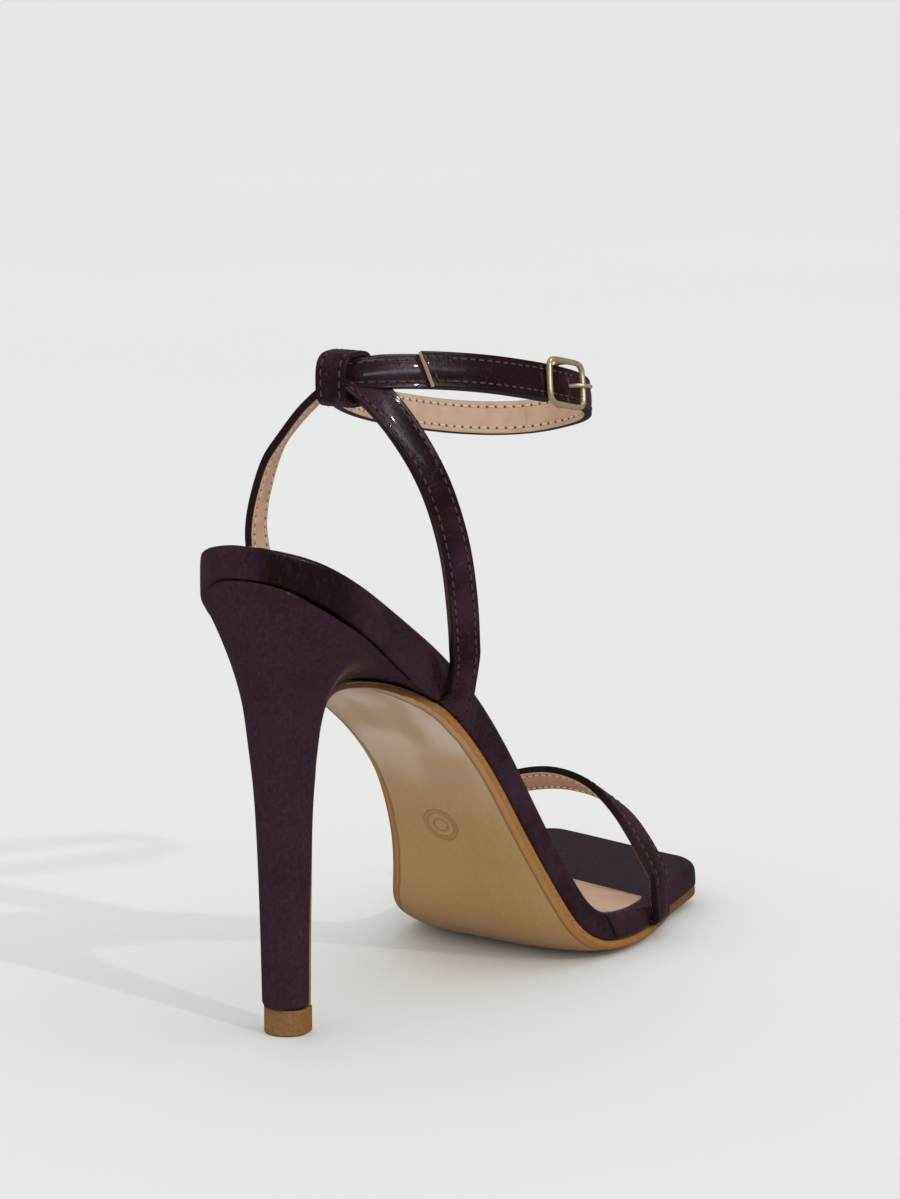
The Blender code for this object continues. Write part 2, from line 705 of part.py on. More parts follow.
def build_toe_strap(group, cutters, footbed, material):
    """Strap over the toes, its ends tucked under the footbed."""
    x_outer, x_inner = station(TOE_STRAP_OUTER), station(TOE_STRAP_INNER)
    left = outline_point(x_outer, -1)
    right = outline_point(x_inner, 1)
    base = underside(x_outer)
    middles, faces = [], []
    rows = smooth_points(TOE_STRAP_TABLE, 3)
    for ahead, across, rise, tilt in rows:
        y = across * BALL_WIDTH
        share = (y - left.y) / (right.y - left.y)
        x = left.x + (right.x - left.x) * share + ahead * BALL_WIDTH
        middles.append(Vector((x, y, base + (TOE_STRAP_RISE - base) * rise)))
        lean = math.radians(tilt)
        side = Vector((0.0, across * 2.0, 1.2 * rise)).normalized()
        faces.append(side * math.cos(lean) + Vector((math.sin(lean), 0.0, 0.0)))
    body = band_stations(middles, faces, TOE_STRAP_WIDTH, STRAP_THICKNESS)
    ends = ((x_outer, -1), (x_inner, 1))
    return add_strap(group, cutters, footbed, "toe_strap", body, ends, TOE_STRAP_WIDTH, material)


def build_sling(group, cutters, footbed, material):
    """Strap from the outer waist up behind the ankle and down to the inner waist."""
    middles, faces = [], []
    for ahead, across, rise, turn, lift in smooth_points(SLING_TABLE, 3):
        middles.append(Vector((ahead * FOOTBED_LENGTH, across * BALL_WIDTH, rise * STRAP_RISE)))
        turn, lift = math.radians(turn), math.radians(lift)
        flat = Vector((-math.sin(turn), -math.cos(turn), 0.0))
        faces.append(flat * math.cos(lift) + Vector((0.0, 0.0, math.sin(lift))))
    body = band_stations(middles, faces, STRAP_WIDTH, STRAP_THICKNESS)
    ends = ((station(SLING_OUTER), -1), (station(SLING_INNER), 1))
    return add_strap(group, cutters, footbed, "ankle_and_sling_straps", body, ends, STRAP_WIDTH, material)


def crossing():
    """Middle of the crossing behind the ankle."""
    row = max(SLING_TABLE, key=lambda row: row[2])
    return Vector((row[0] * FOOTBED_LENGTH, 0.0, STRAP_RISE))


def ring_point(angle, offset):
    """Point on the ankle ring. The angle starts at the crossing and runs over the outer side."""
    turn = math.radians(angle)
    reach, sway = -math.cos(turn), math.sin(turn)
    if reach > 0.0:
        reach = reach ** ANKLE_CORNER
    share = (1.0 + reach) / 2.0
    along = ANKLE_LENGTH * share
    power = 1.1 if reach < 0.0 else ANKLE_CORNER
    across = -0.5 * ANKLE_WIDTH * math.copysign(abs(sway) ** power, sway) * (share + 0.02) ** 0.08
    spin = math.radians(ANKLE_TURN)
    flat = Vector((math.cos(spin) * along - math.sin(spin) * across,
                   math.sin(spin) * along + math.cos(spin) * across, 0.0))
    flat.z = -ANKLE_DROP * flat.x - ANKLE_LEAN * flat.y
    seat = crossing() + Vector((0.24, 0.57, 0.55))
    if offset == 0.0:
        return seat + flat
    return seat + flat + ring_face(angle) * offset


def ring_face(angle):
    """Direction that the ring faces outwards, in its own plane."""
    plane = Vector((ANKLE_DROP, ANKLE_LEAN, 1.0)).normalized()
    along = ring_point(angle + 0.5, 0.0) - ring_point(angle - 0.5, 0.0)
    return along.cross(plane).normalized()


def build_ankle_strap(group, cutters, material):
    """Strap through the keeper and round the ankle, its free end lapped over its start."""
    middles, faces = [], []
    start, end = BUCKLE_ANGLE - 3.5, TAIL_ANGLE - 360.0
    count = 66
    for i in range(count + 1):
        angle = start + (end - start) * i / count
        lift = ANKLE_LAP * ease((-angle - 120.0) / 85.0)
        middles.append(ring_point(angle, lift))
        faces.append(ring_face(angle))
    body = band_stations(middles, faces, STRAP_WIDTH, STRAP_THICKNESS)
    loops = []
    for i, (middle, wide, thick) in enumerate(body):
        angle = start + (end - start) * i / count
        share = ease((-angle - 200.0) / 40.0)
        loops.append(band_loop(middle, wide * (1.0 + (TAIL_WIDTH / STRAP_WIDTH - 1.0) * share), thick))
    plane = Vector((ANKLE_DROP, ANKLE_LEAN, 1.0)).normalized()
    along = (middles[-1] - middles[-2]).normalized()
    loops[-1] = [point + along * (TAIL_SLANT * (point - middles[-1]).dot(plane) / TAIL_WIDTH)
                 for point in loops[-1]]
    return add_loft(cutters, "ankle_band", loops, material)


def build_keeper(group, material):
    """Leather loop round both straps at the crossing."""
    middle = crossing() + Vector((1.4, 0.0, -0.1))
    loops = []
    deep = (KEEPER_DEPTH - KEEPER_THICKNESS) / 2.0
    high = (KEEPER_HEIGHT - KEEPER_THICKNESS) / 2.0
    for i in range(36):
        turn = 2.0 * math.pi * i / 36
        c, s = math.cos(turn), math.sin(turn)
        place = Vector((math.copysign(abs(c) ** 0.62, c) * deep, 0.0,
                        math.copysign(abs(s) ** 0.62, s) * high))
        face = Vector((c / deep, 0.0, s / high)).normalized()
        loops.append(band_loop(middle + place, Vector((0.0, KEEPER_LENGTH, 0.0)), face * KEEPER_THICKNESS))
    return add_loft(group, "keeper_loop", loops, material, closed=True)


def buckle_frame():
    """Place and directions of the buckle: middle, along the strap, across it and outwards."""
    middle = ring_point(BUCKLE_ANGLE, 0.0)
    out = ring_face(BUCKLE_ANGLE)
    across = Vector((ANKLE_DROP, ANKLE_LEAN, 1.0)).normalized()
    tilt = math.radians(BUCKLE_TILT)
    along = across.cross(out) * math.cos(tilt) + out * math.sin(tilt)
    return middle, along, across, along.cross(across)


def wire(group, name, points, radius, cyclic, material):
    """Round wire through points, as a mesh."""
    curve = bpy.data.curves.new(name, "CURVE")
    curve.dimensions = "3D"
    curve.bevel_depth = radius * MM
    curve.bevel_resolution = 2
    curve.use_fill_caps = not cyclic
    spline = curve.splines.new("POLY")
    spline.points.add(len(points) - 1)
    for slot, point in zip(spline.points, points):
        slot.co = (*(point * MM), 1.0)
    spline.use_cyclic_u = cyclic
    guide = bpy.data.objects.new(name + "_curve", curve)
    group.objects.link(guide)
    bpy.context.view_layer.update()
    data = bpy.data.meshes.new_from_object(guide.evaluated_get(bpy.context.evaluated_depsgraph_get()))
    bpy.data.objects.remove(guide, do_unlink=True)
    mesh = bmesh.new()
    mesh.from_mesh(data)
    bmesh.ops.remove_doubles(mesh, verts=mesh.verts, dist=0.00001)
    bmesh.ops.recalc_face_normals(mesh, faces=mesh.faces)
    mesh.to_mesh(data)
    mesh.free()
    data.shade_smooth()
    data.set_sharp_from_angle(angle=math.radians(45.0))
    if material:
        data.materials.append(material)
    piece = bpy.data.objects.new(name, data)
    group.objects.link(piece)
    return piece


def build_buckle(group, cutters, band, material):
    """Wire frame over the strap, its bar under it, and the prong through the strap."""
    middle, along, across, out = buckle_frame()
    high = ANKLE_LAP + STRAP_THICKNESS / 2.0 + GAP + BUCKLE_WIRE / 2.0
    low = ANKLE_LAP - STRAP_THICKNESS / 2.0 - GAP - BUCKLE_BAR / 2.0
    half = BUCKLE_LENGTH / 2.0 - BUCKLE_WIRE / 2.0
    wide = TAIL_WIDTH / 2.0 + 1.5 * GAP + BUCKLE_WIRE / 2.0
    corner = 2.2
    points = []
    for quarter in range(4):
        a = -1 if quarter in (1, 2) else 1
        b = -1 if quarter in (2, 3) else 1
        for k in range(4):
            turn = math.radians(90.0 * quarter + 30.0 * k)
            x = a * (half - corner) + corner * math.cos(turn)
            y = b * (wide - corner) + corner * math.sin(turn)
            points.append(middle + along * x + across * y + out * high)
    frame = wire(group, "buckle_frame", points, BUCKLE_WIRE / 2.0, True, material)
    reach = wide - 0.25
    path = ((-reach, high), (-reach, low + 0.9), (-reach + 0.9, low), (reach - 0.9, low),
            (reach, low + 0.9), (reach, high))
    bar_points = [middle + across * y + out * z for y, z in path]
    bar = wire(cutters, "buckle_bar", bar_points, BUCKLE_BAR / 2.0, False, None)
    add_boolean(frame, bar, "UNION")
    rest = high + BUCKLE_WIRE / 2.0 + GAP + PRONG_WIRE / 2.0
    clear = BUCKLE_BAR / 2.0 + GAP + PRONG_WIRE / 2.0
    path = ((-0.6, low - clear), (0.8 * clear, low - 0.9 * clear), (1.1 * clear, low),
            (2.6, ANKLE_LAP), (3.9, ANKLE_LAP + 2.2), (half, rest), (half + 1.6, rest - 0.5))
    prong = wire(group, "buckle_prong", [middle + along * x + out * z for x, z in path],
                 PRONG_WIRE / 2.0, False, material)
    hole = [middle + along * x + out * z for x, z in ((1.2, ANKLE_LAP - 2.2), (3.9, ANKLE_LAP + 2.2))]
    cutter = wire(cutters, "prong_hole", hole, PRONG_HOLE / 2.0, False, None)
    add_boolean(band, cutter, "DIFFERENCE")
    return frame, prong


def main():
    clear_scene()
    group = make_collection("strappy_heeled_sandal")
    cutters = make_collection("cutters")
    leather = make_material("plum_patent_leather", (0.045, 0.020, 0.030), 0.30)
    sole = make_material("tan_sole_leather", (0.36, 0.21, 0.10), 0.28)
    rubber = make_material("brown_rubber", (0.22, 0.12, 0.06), 0.55)
    lining = make_material("beige_lining", (0.56, 0.37, 0.26), 0.60)
    metal = make_material("pale_gold_metal", (0.72, 0.56, 0.36), 0.22, 1.0)
    footbed = build_footbed(group, leather)
    build_lining(group, lining)
    build_outsole(group, sole)
    build_heel(group, leather)
    build_heel_tip(group, rubber)
    build_toe_strap(group, cutters, footbed, leather)
    sling = build_sling(group, cutters, footbed, leather)
    band = build_ankle_strap(group, cutters, leather)
    build_buckle(group, cutters, band, metal)
    add_boolean(sling, band, "UNION")
    build_keeper(group, leather)


main()
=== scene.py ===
import math

import bpy
import numpy as np
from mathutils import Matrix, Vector
from mathutils.kdtree import KDTree


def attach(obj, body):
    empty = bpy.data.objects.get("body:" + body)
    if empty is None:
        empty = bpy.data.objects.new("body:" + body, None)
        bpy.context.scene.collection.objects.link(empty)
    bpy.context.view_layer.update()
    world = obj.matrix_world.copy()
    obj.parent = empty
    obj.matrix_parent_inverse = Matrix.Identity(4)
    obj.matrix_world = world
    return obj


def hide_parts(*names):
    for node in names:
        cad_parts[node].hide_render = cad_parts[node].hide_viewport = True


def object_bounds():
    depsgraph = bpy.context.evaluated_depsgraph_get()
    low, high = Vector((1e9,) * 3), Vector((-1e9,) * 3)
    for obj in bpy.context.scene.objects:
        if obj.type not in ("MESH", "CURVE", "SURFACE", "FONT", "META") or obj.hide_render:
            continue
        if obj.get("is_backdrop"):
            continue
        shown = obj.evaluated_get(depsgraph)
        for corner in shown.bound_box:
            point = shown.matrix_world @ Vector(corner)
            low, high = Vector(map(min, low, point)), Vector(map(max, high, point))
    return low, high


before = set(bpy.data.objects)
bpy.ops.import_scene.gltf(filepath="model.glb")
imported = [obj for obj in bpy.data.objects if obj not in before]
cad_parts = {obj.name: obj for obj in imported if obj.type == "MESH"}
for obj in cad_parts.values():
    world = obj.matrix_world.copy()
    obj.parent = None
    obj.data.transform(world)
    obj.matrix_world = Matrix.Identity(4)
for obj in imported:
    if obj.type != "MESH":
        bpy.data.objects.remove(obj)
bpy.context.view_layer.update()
MM = 0.001


# Footbed. A board with its shank, wrapped in plum crinkled patent leather. The leather is drawn
# over the edge, skived and glued under the board, so the wall is smooth and the edge is round.
PLUM = (0.046, 0.0158, 0.0305, 1.0)
PLUM_DARK = (0.011, 0.0035, 0.004, 1.0)
PLUM_GLINT = (0.090, 0.052, 0.085, 1.0)
PLUM_BROWN = (0.011, 0.0028, 0.0018, 1.0)
PLUM_BLACK = (0.003, 0.0012, 0.0015, 1.0)
SEAM_LEAN = 0.53               # share of its rise by which the cover's seam leans back
OUTER_WALL = (-0.031, -0.029)  # metres across, the seam shows on the outer wall alone
REAL_EDGE = 38                 # degrees past which an edge of a form is a real one


class Field:
    """One output of a node in a material, so that shader sums are written as plain expressions."""

    def __init__(self, tree, socket):
        self.tree = tree
        self.socket = socket

    def node(self, kind, settings, sockets, out=0):
        """Add any node: its settings first, then the values or links of its sockets."""
        made = self.tree.nodes.new(kind)
        for name, value in settings.items():
            setattr(made, name, value)
        for name, value in sockets.items():
            if isinstance(value, Field):
                self.tree.links.new(value.socket, made.inputs[name])
            else:
                made.inputs[name].default_value = value
        return Field(self.tree, made.outputs[out])

    def math(self, operation, *values):
        return self.node("ShaderNodeMath", {"operation": operation}, dict(enumerate(values)))

    def absolute(self):
        return self.math("ABSOLUTE", self)

    def root(self):
        return self.math("SQRT", self)

    def fraction(self):
        return self.math("FRACT", self)

    def __add__(self, other):
        return self.math("ADD", self, other)

    def __sub__(self, other):
        return self.math("SUBTRACT", self, other)

    def __rsub__(self, other):
        return self.math("SUBTRACT", other, self)

    def __mul__(self, other):
        return self.math("MULTIPLY", self, other)

    def __truediv__(self, other):
        return self.math("DIVIDE", self, other)

    __radd__ = __add__
    __rmul__ = __mul__

    def step(self, low, high):
        """Go from 0 at low to 1 at high, smoothly."""
        return self.node("ShaderNodeMapRange", {"interpolation_type": "SMOOTHSTEP"},
                         {0: self, 1: low, 2: high})

    def band(self, place, half, soft):
        """1 within half of a place, and 0 beyond it."""
        return 1.0 - (self - place).absolute().step(half, half + soft)

    def blend(self, first, second):
        """Mix two colours by this field."""
        return self.node("ShaderNodeMix", {"data_type": "RGBA"}, {0: self, 6: first, 7: second}, 2)

    def stretched(self, x, y, z):
        """Scale a vector's axes."""
        return self.node("ShaderNodeVectorMath", {"operation": "MULTIPLY"}, {0: self, 1: (x, y, z)})

    def noise(self, scale, detail=2.0, distortion=0.0):
        return self.node("ShaderNodeTexNoise", {}, {"Vector": self, "Scale": scale, "Detail": detail,
                                                    "Distortion": distortion})

    def split(self, axis):
        """One number of a vector."""
        return self.node("ShaderNodeSeparateXYZ", {}, {0: self}, axis)


def new_finish(name, roughness, **constants):
    """Start a material. Returns it with its shader and its place on the object."""
    material = bpy.data.materials.new(name)
    material.use_nodes = True
    tree = material.node_tree
    shader = tree.nodes["Principled BSDF"]
    shader.inputs["Roughness"].default_value = roughness
    for socket, value in constants.items():
        shader.inputs[socket.replace("_", " ")].default_value = value
    place = tree.nodes.new("ShaderNodeTexCoord")
    return material, shader, Field(tree, place.outputs["Object"])


def feed(shader, socket, field):
    """Link a field to a socket of the shader."""
    field.tree.links.new(field.socket, shader.inputs[socket])


def relief(field, distance, under=None):
    """Turn a height field into a surface normal. distance: metres for a height of 1. under: the
    relief that it lies on."""
    sockets = {"Height": field, "Distance": distance, "Strength": 1.0}
    if under:
        sockets["Normal"] = under
    return field.node("ShaderNodeBump", {}, sockets)


def plum_leather(name, crease, rough, dark, crinkle, coat, glint_share, zone=None, size=760.0,
                 seam=None):
    """Crinkled patent leather. crease: how the crinkles are stretched along each axis. frost: how
    pale their crests are painted, a painted highlight. zone: middle and reach across of a place at
    the
    back that is coloured dark brown. size: how fine the crinkles are. seam: where the cover's seam
    crosses the outer wall."""
    material, shader, place = new_finish(name, rough, Coat_Roughness=0.06, Specular_IOR_Level=0.22)
    cloud = place.noise(55.0, 3.0)
    mottle = place.noise(900.0, 3.0)
    wrinkle = place.stretched(*crease).noise(size, 4.0, 1.2)
    grain = place.noise(3200.0, 2.0)
    shade = cloud.step(0.42, 0.66)
    tone = (mottle.step(0.3, 0.75) * 0.35 + shade * dark).blend(PLUM, PLUM_DARK)
    if zone:
        back = 1.0 - place.split(0).step(-0.010, 0.004)
        here = place.split(1).band(zone[0], zone[1], 0.006) * back
        tone = (here * 0.9).blend(tone, PLUM_BROWN)
    # The crests of the crinkles are painted paler: a painted highlight.
    tone = (wrinkle.step(0.50, 0.75) * glint_share).blend(tone, PLUM_GLINT)
    height = wrinkle
    if seam:
        lean = place.split(0) + place.split(2) * SEAM_LEAN
        groove = lean.band(seam, 0.00020, 0.00030) * (1.0 - place.split(1).step(*OUTER_WALL))
        tone = (groove * 0.97).blend(tone, PLUM_BLACK)
        height = wrinkle - groove * 4.0
    feed(shader, "Base Color", tone)
    feed(shader, "Roughness", rough + (mottle - 0.5) * 0.16 - shade * 0.08)
    feed(shader, "Coat Weight", coat + shade * 0.25)
    feed(shader, "Normal", relief(height, crinkle, relief(grain, 0.00003)))
    return material


def take_node(node, name):
    """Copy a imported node's mesh, with its loose triangles merged."""
    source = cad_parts[node]
    piece = bpy.data.objects.new(name, source.data.copy())
    bpy.context.scene.collection.objects.link(piece)
    select_only(piece)
    piece.data.materials.clear()
    bpy.ops.object.mode_set(mode="EDIT")
    bpy.ops.mesh.select_all(action="SELECT")
    bpy.ops.mesh.remove_doubles(threshold=0.000002)
    bpy.ops.mesh.normals_make_consistent(inside=False)
    bpy.ops.object.mode_set(mode="OBJECT")
    return piece


def select_only(piece):
    """Make one piece the selected and active one."""
    bpy.ops.object.select_all(action="DESELECT")
    piece.select_set(True)
    bpy.context.view_layer.objects.active = piece


def settle(piece, material_slot, *nodes):
    """Fix a finished piece on the shoe, in place of the nodes that it stands for."""
    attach(piece, "root")
    if nodes:
        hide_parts(*nodes)


def smooth_form(piece, levels, crease=0.8, angle=REAL_EDGE):
    """Round off the facets of a form, and keep its real edges crisp by a share."""
    select_only(piece)
    bpy.ops.object.mode_set(mode="EDIT")
    bpy.ops.mesh.select_all(action="SELECT")
    bpy.ops.mesh.tris_convert_to_quads(face_threshold=math.radians(40),
                                       shape_threshold=math.radians(60))
    bpy.ops.mesh.select_all(action="DESELECT")
    bpy.ops.mesh.select_mode(type="EDGE")
    bpy.ops.mesh.edges_select_sharp(sharpness=math.radians(angle))
    bpy.ops.transform.edge_crease(value=crease)
    bpy.ops.object.mode_set(mode="OBJECT")
    if levels:
        step = piece.modifiers.new("Round", "SUBSURF")
        step.levels = step.render_levels = levels
        bpy.ops.object.modifier_apply(modifier=step.name)
    bpy.ops.object.shade_smooth_by_angle(angle=math.radians(40))


footbed = take_node("footbed", "footbed_cover")
smooth_form(footbed, 2)
footbed_patent = plum_leather("footbed_patent", (1.0, 1.0, 0.35), rough=0.34, dark=0.6,
                              crinkle=0.00010, coat=0.22, glint_share=0.14,
                              zone=(-0.0135, 0.006), seam=0.1035)
footbed.data.materials.append(footbed_patent)
settle(footbed, "plum_leather", "footbed")


# Footbed lining. A sheet of beige leather glued on the footbed, from the seat to the ball.
BEIGE = (0.63, 0.425, 0.305, 1.0)
BEIGE_DEEP = (0.50, 0.315, 0.215, 1.0)
LINING_DROP = 0.38   # how far the sheet's underside sinks into the footbed
LINING_SKIVE = 0.95  # how far its upper face sinks, where it is pared thin


def beige_leather(name):
    """Matt pigskin lining with fine grain."""
    material, shader, place = new_finish(name, 0.62, Specular_IOR_Level=0.35)
    cloud = place.noise(160.0, 3.0)
    grain = place.noise(2400.0, 3.0)
    tone = (cloud.step(0.35, 0.7) * 0.6 + grain.step(0.4, 0.8) * 0.3).blend(BEIGE, BEIGE_DEEP)
    feed(shader, "Base Color", tone)
    feed(shader, "Roughness", 0.56 + grain * 0.14)
    feed(shader, "Normal", relief(grain, 0.00004))
    return material


lining = take_node("footbed_lining", "footbed_lining_sheet")
smooth_form(lining, 1)
for vertex in lining.data.vertices:
    upper = 0.5 + 0.5 * vertex.normal.z
    vertex.co.z -= (LINING_DROP + (LINING_SKIVE - LINING_DROP) * upper) * MM
lining.data.materials.append(beige_leather("insole_lining_leather"))
settle(lining, "beige_lining", "footbed_lining")


# Heel. A moulded core round a steel pin, covered in the same plum leather, which wrinkles finely
# where it is stretched round the back.
heel = take_node("heel", "heel_cover")
smooth_form(heel, 2, 0.45)
heel_patent = plum_leather("heel_patent", (1.0, 1.0, 0.45), rough=0.44, dark=0.20,
                           crinkle=0.00022, coat=0.05, glint_share=0.30, size=1500.0)
heel.data.materials.append(heel_patent)
settle(heel, "plum_leather", "heel")


# Heel tip. A moulded rubber plug, pinned into the heel's foot.
TIP_BROWN = (0.285, 0.135, 0.036, 1.0)
TIP_DARK = (0.190, 0.088, 0.026, 1.0)

tip = take_node("heel_tip", "heel_tip_rubber")
smooth_form(tip, 0)
rubber, shader, place = new_finish("tip_rubber", 0.48, Specular_IOR_Level=0.4)
speckle = place.noise(1500.0, 3.0)
feed(shader, "Base Color", speckle.step(0.35, 0.75).blend(TIP_BROWN, TIP_DARK))
feed(shader, "Roughness", 0.42 + speckle * 0.16)
feed(shader, "Normal", relief(speckle, 0.00003))
tip.data.materials.append(rubber)
settle(tip, "brown_tip", "heel_tip")


# Outsole. Tan sole leather with a polished face and a stained edge. It is drawn down the heel
# breast as a tongue, and carries a plain stamp of rings in the waist.
TAN = (0.42, 0.235, 0.085, 1.0)
TAN_PALE = (0.50, 0.30, 0.120, 1.0)
TAN_REFLECTION = (0.76, 0.61, 0.50, 1.0)
EDGE_STAIN = (0.40, 0.175, 0.040, 1.0)
EDGE_DARK = (0.085, 0.030, 0.012, 1.0)
TAN_BORDER = (0.42, 0.19, 0.050, 1.0)
STAMP_CENTER = (64.3, -5.1, 37.9)
STAMP_WIDTH = 4.4
STAMP_HEIGHT = 4.2
SOLE_FRONT = 160.0  # ahead of this the sole's front wall is stained too
SOLE_GROOVE = 1.7   # the groove's distance from the edge

outsole = take_node("outsole", "outsole_leather")
smooth_form(outsole, 2)
for face in outsole.data.polygons:
    front = face.center.x > SOLE_FRONT * MM and face.normal.x > 0.5
    face.material_index = 1 if abs(face.normal.y) > 0.55 or front else 0
rim = {i for face in outsole.data.polygons if face.material_index for i in face.vertices}
near = KDTree(len(rim))
for i in rim:
    near.insert(outsole.data.vertices[i].co, i)
near.balance()
layer = outsole.data.uv_layers.get("margin") or outsole.data.uv_layers.new(name="margin")
for loop in outsole.data.loops:
    distance = near.find(outsole.data.vertices[loop.vertex_index].co)[2]
    layer.data[loop.index].uv = (distance / MM, 0.0)
sole, shader, place = new_finish("sole_leather", 0.30, Coat_Roughness=0.10, Specular_IOR_Level=0.5)
cloud = place.noise(24.0, 3.0)
fibre = place.stretched(1.0, 3.0, 1.0).noise(500.0, 4.0)
inset = place.node("ShaderNodeUVMap", {"uv_map": "margin"}, {}).split(0)
groove = inset.band(SOLE_GROOVE, 0.10, 0.35)
border = 1.0 - inset.step(1.5, 2.0)
across = (place.split(1) - STAMP_CENTER[1] * MM) / (STAMP_WIDTH * MM)
down = (place.split(2) - STAMP_CENTER[2] * MM) / (STAMP_HEIGHT * MM)
ring = (across * across + down * down).root()
stamp = ring.band(1.0, 0.03, 0.06) + ring.band(0.80, 0.02, 0.05) + ring.band(0.42, 0.03, 0.06)
stamp = stamp * place.split(0).band(STAMP_CENTER[0] * MM, 0.010, 0.002)
tone = (cloud * 0.6 + fibre * 0.4).step(0.30, 0.70).blend(TAN, TAN_PALE)
# Paler the higher it rises, and in soft patches up the arch: a painted reflection of the floor.
sheen = place.stretched(1.0, 1.6, 1.0).noise(46.0, 1.0).step(0.32, 0.60)
arch_reflection = place.split(2).step(0.040, 0.078) * sheen
tone = (arch_reflection * 0.6 + place.split(2).step(0.030, 0.070) * 0.3).blend(tone, TAN_REFLECTION)
tone = (border * 0.75).blend(tone, TAN_BORDER)
# The groove is painted darker: painted shade in it.
tone = (groove * 0.45).blend(tone, EDGE_DARK)
feed(shader, "Base Color", (stamp * 0.22).blend(tone, EDGE_DARK))
feed(shader, "Roughness", 0.26 + fibre * 0.12)
feed(shader, "Coat Weight", 0.30 + cloud * 0.25)
high = relief(fibre, 0.00003)
feed(shader, "Normal", relief(0.0 - groove * 0.6 - stamp, 0.00022, high))
outsole.data.materials.append(sole)
edge, shader, place = new_finish("sole_edge_stain_and_shade", 0.34, Specular_IOR_Level=0.5)
streak = place.stretched(0.3, 1.0, 1.0).noise(1500.0, 3.0)
stain = (streak.step(0.3, 0.8) * 0.4).blend(EDGE_STAIN, EDGE_DARK)
# The edge is painted darker high up the waist, and darker towards the toe as painted shade.
upper_dark_toe_shade = place.split(2).step(0.073, 0.079) * 0.85 + place.split(0).step(0.118, 0.135) * 0.6
feed(shader, "Base Color", upper_dark_toe_shade.blend(stain, EDGE_DARK))
feed(shader, "Roughness", 0.30 + streak * 0.15)
outsole.data.materials.append(edge)
settle(outsole, "tan_sole", "outsole")


# Toe strap. A folded strap of plum patent leather with a beige lining, stitched along both edges.
# Its two ends are lasted: they go down the footbed's wall and are glued under it.
# Lengths in millimetres, as in the CAD.
FOOTBED_LENGTH = 193.0
SEAT_BACK = 20.0
SEAT_RISE = 109.5
BALL_WIDTH = 68.0
TREAD = 3.8
GAP = 0.3
TOE_SKEW = 0.30
BALL_BOW = 0.70
STRAP_THICKNESS = 1.9
STRAP_COLUMNS = 16   # faces across a strap
EDGE_ROUND = 0.3
STITCH_TROUGH = 0.14
LINING_PROUD = 0.14
LINING_TROUGH = 0.12
TOE_STRAP_WIDTH = 9.2
TAB_THICKNESS = 1.2
TAB_LENGTH = 6.0
TAB_BEND = 1.5
TOE_STRAP_RISE = 35.4
TOE_STRAP_OUTER = 146.3
TOE_STRAP_INNER = 147.0
TABLE_STEPS = 3      # steps between two rows of a strap's table
RUN_STEPS = 8        # steps between two rows of its run
STITCH_PITCH = 2.4
STITCH_MARGIN = 1.45
STITCH_LENGTH = 1.75
STITCH_WIDE = 0.24   # half of a stitch across
STITCH_HIGH = 0.22   # half of it upwards
STITCH_TUCK = 0.12   # how far its ends go down
LINING_STITCH = 0.12  # how far the cream stitches stand off
THREAD_PLUM = (0.125, 0.062, 0.052, 1.0)
THREAD_CREAM = (0.88, 0.78, 0.60, 1.0)
HOLE_SHADE_BLACK = (0.004, 0.002, 0.002, 1.0)
HOLE_SHADE_BROWN = (0.05, 0.025, 0.02, 1.0)
BEIGE_CREASE_SHADE = (0.27, 0.15, 0.10, 1.0)
FOOTBED_TABLE = [
    # along, rise,  outer, inner
    (0.000, 1.000, 0.320, 0.314),
    (0.008, 0.989, 0.320, 0.314),
    (0.020, 0.973, 0.320, 0.314),
    (0.040, 0.945, 0.320, 0.314),
    (0.070, 0.903, 0.320, 0.314),
    (0.135, 0.828, 0.322, 0.314),
    (0.207, 0.748, 0.318, 0.290),
    (0.280, 0.668, 0.315, 0.235),
    (0.352, 0.567, 0.330, 0.180),
    (0.412, 0.444, 0.358, 0.152),
    (0.464, 0.299, 0.396, 0.180),
    (0.512, 0.171, 0.435, 0.255),
    (0.556, 0.061, 0.472, 0.358),
    (0.596, 0.014, 0.499, 0.406),
    (0.632, 0.002, 0.517, 0.438),
    (0.664, 0.000, 0.524, 0.455),
    (0.790, 0.000, 0.488, 0.478),
    (0.860, 0.002, 0.448, 0.470),
    (0.930, 0.006, 0.420, 0.448),
    (1.000, 0.012, 0.402, 0.420),
]
TOE_STRAP_TABLE = [
    # ahead, across, rise, tilt
    (0.000, -0.512, 0.380, 7.0),
    (0.000, -0.432, 0.610, 8.0),
    (0.004, -0.318, 0.840, 17.0),
    (0.010, -0.176, 0.975, 32.0),
    (0.012, 0.000, 1.000, 40.0),
    (0.010, 0.187, 0.915, 37.0),
    (0.004, 0.353, 0.760, 30.0),
    (0.000, 0.470, 0.560, 22.0),
    (0.000, 0.515, 0.360, 16.0),
]


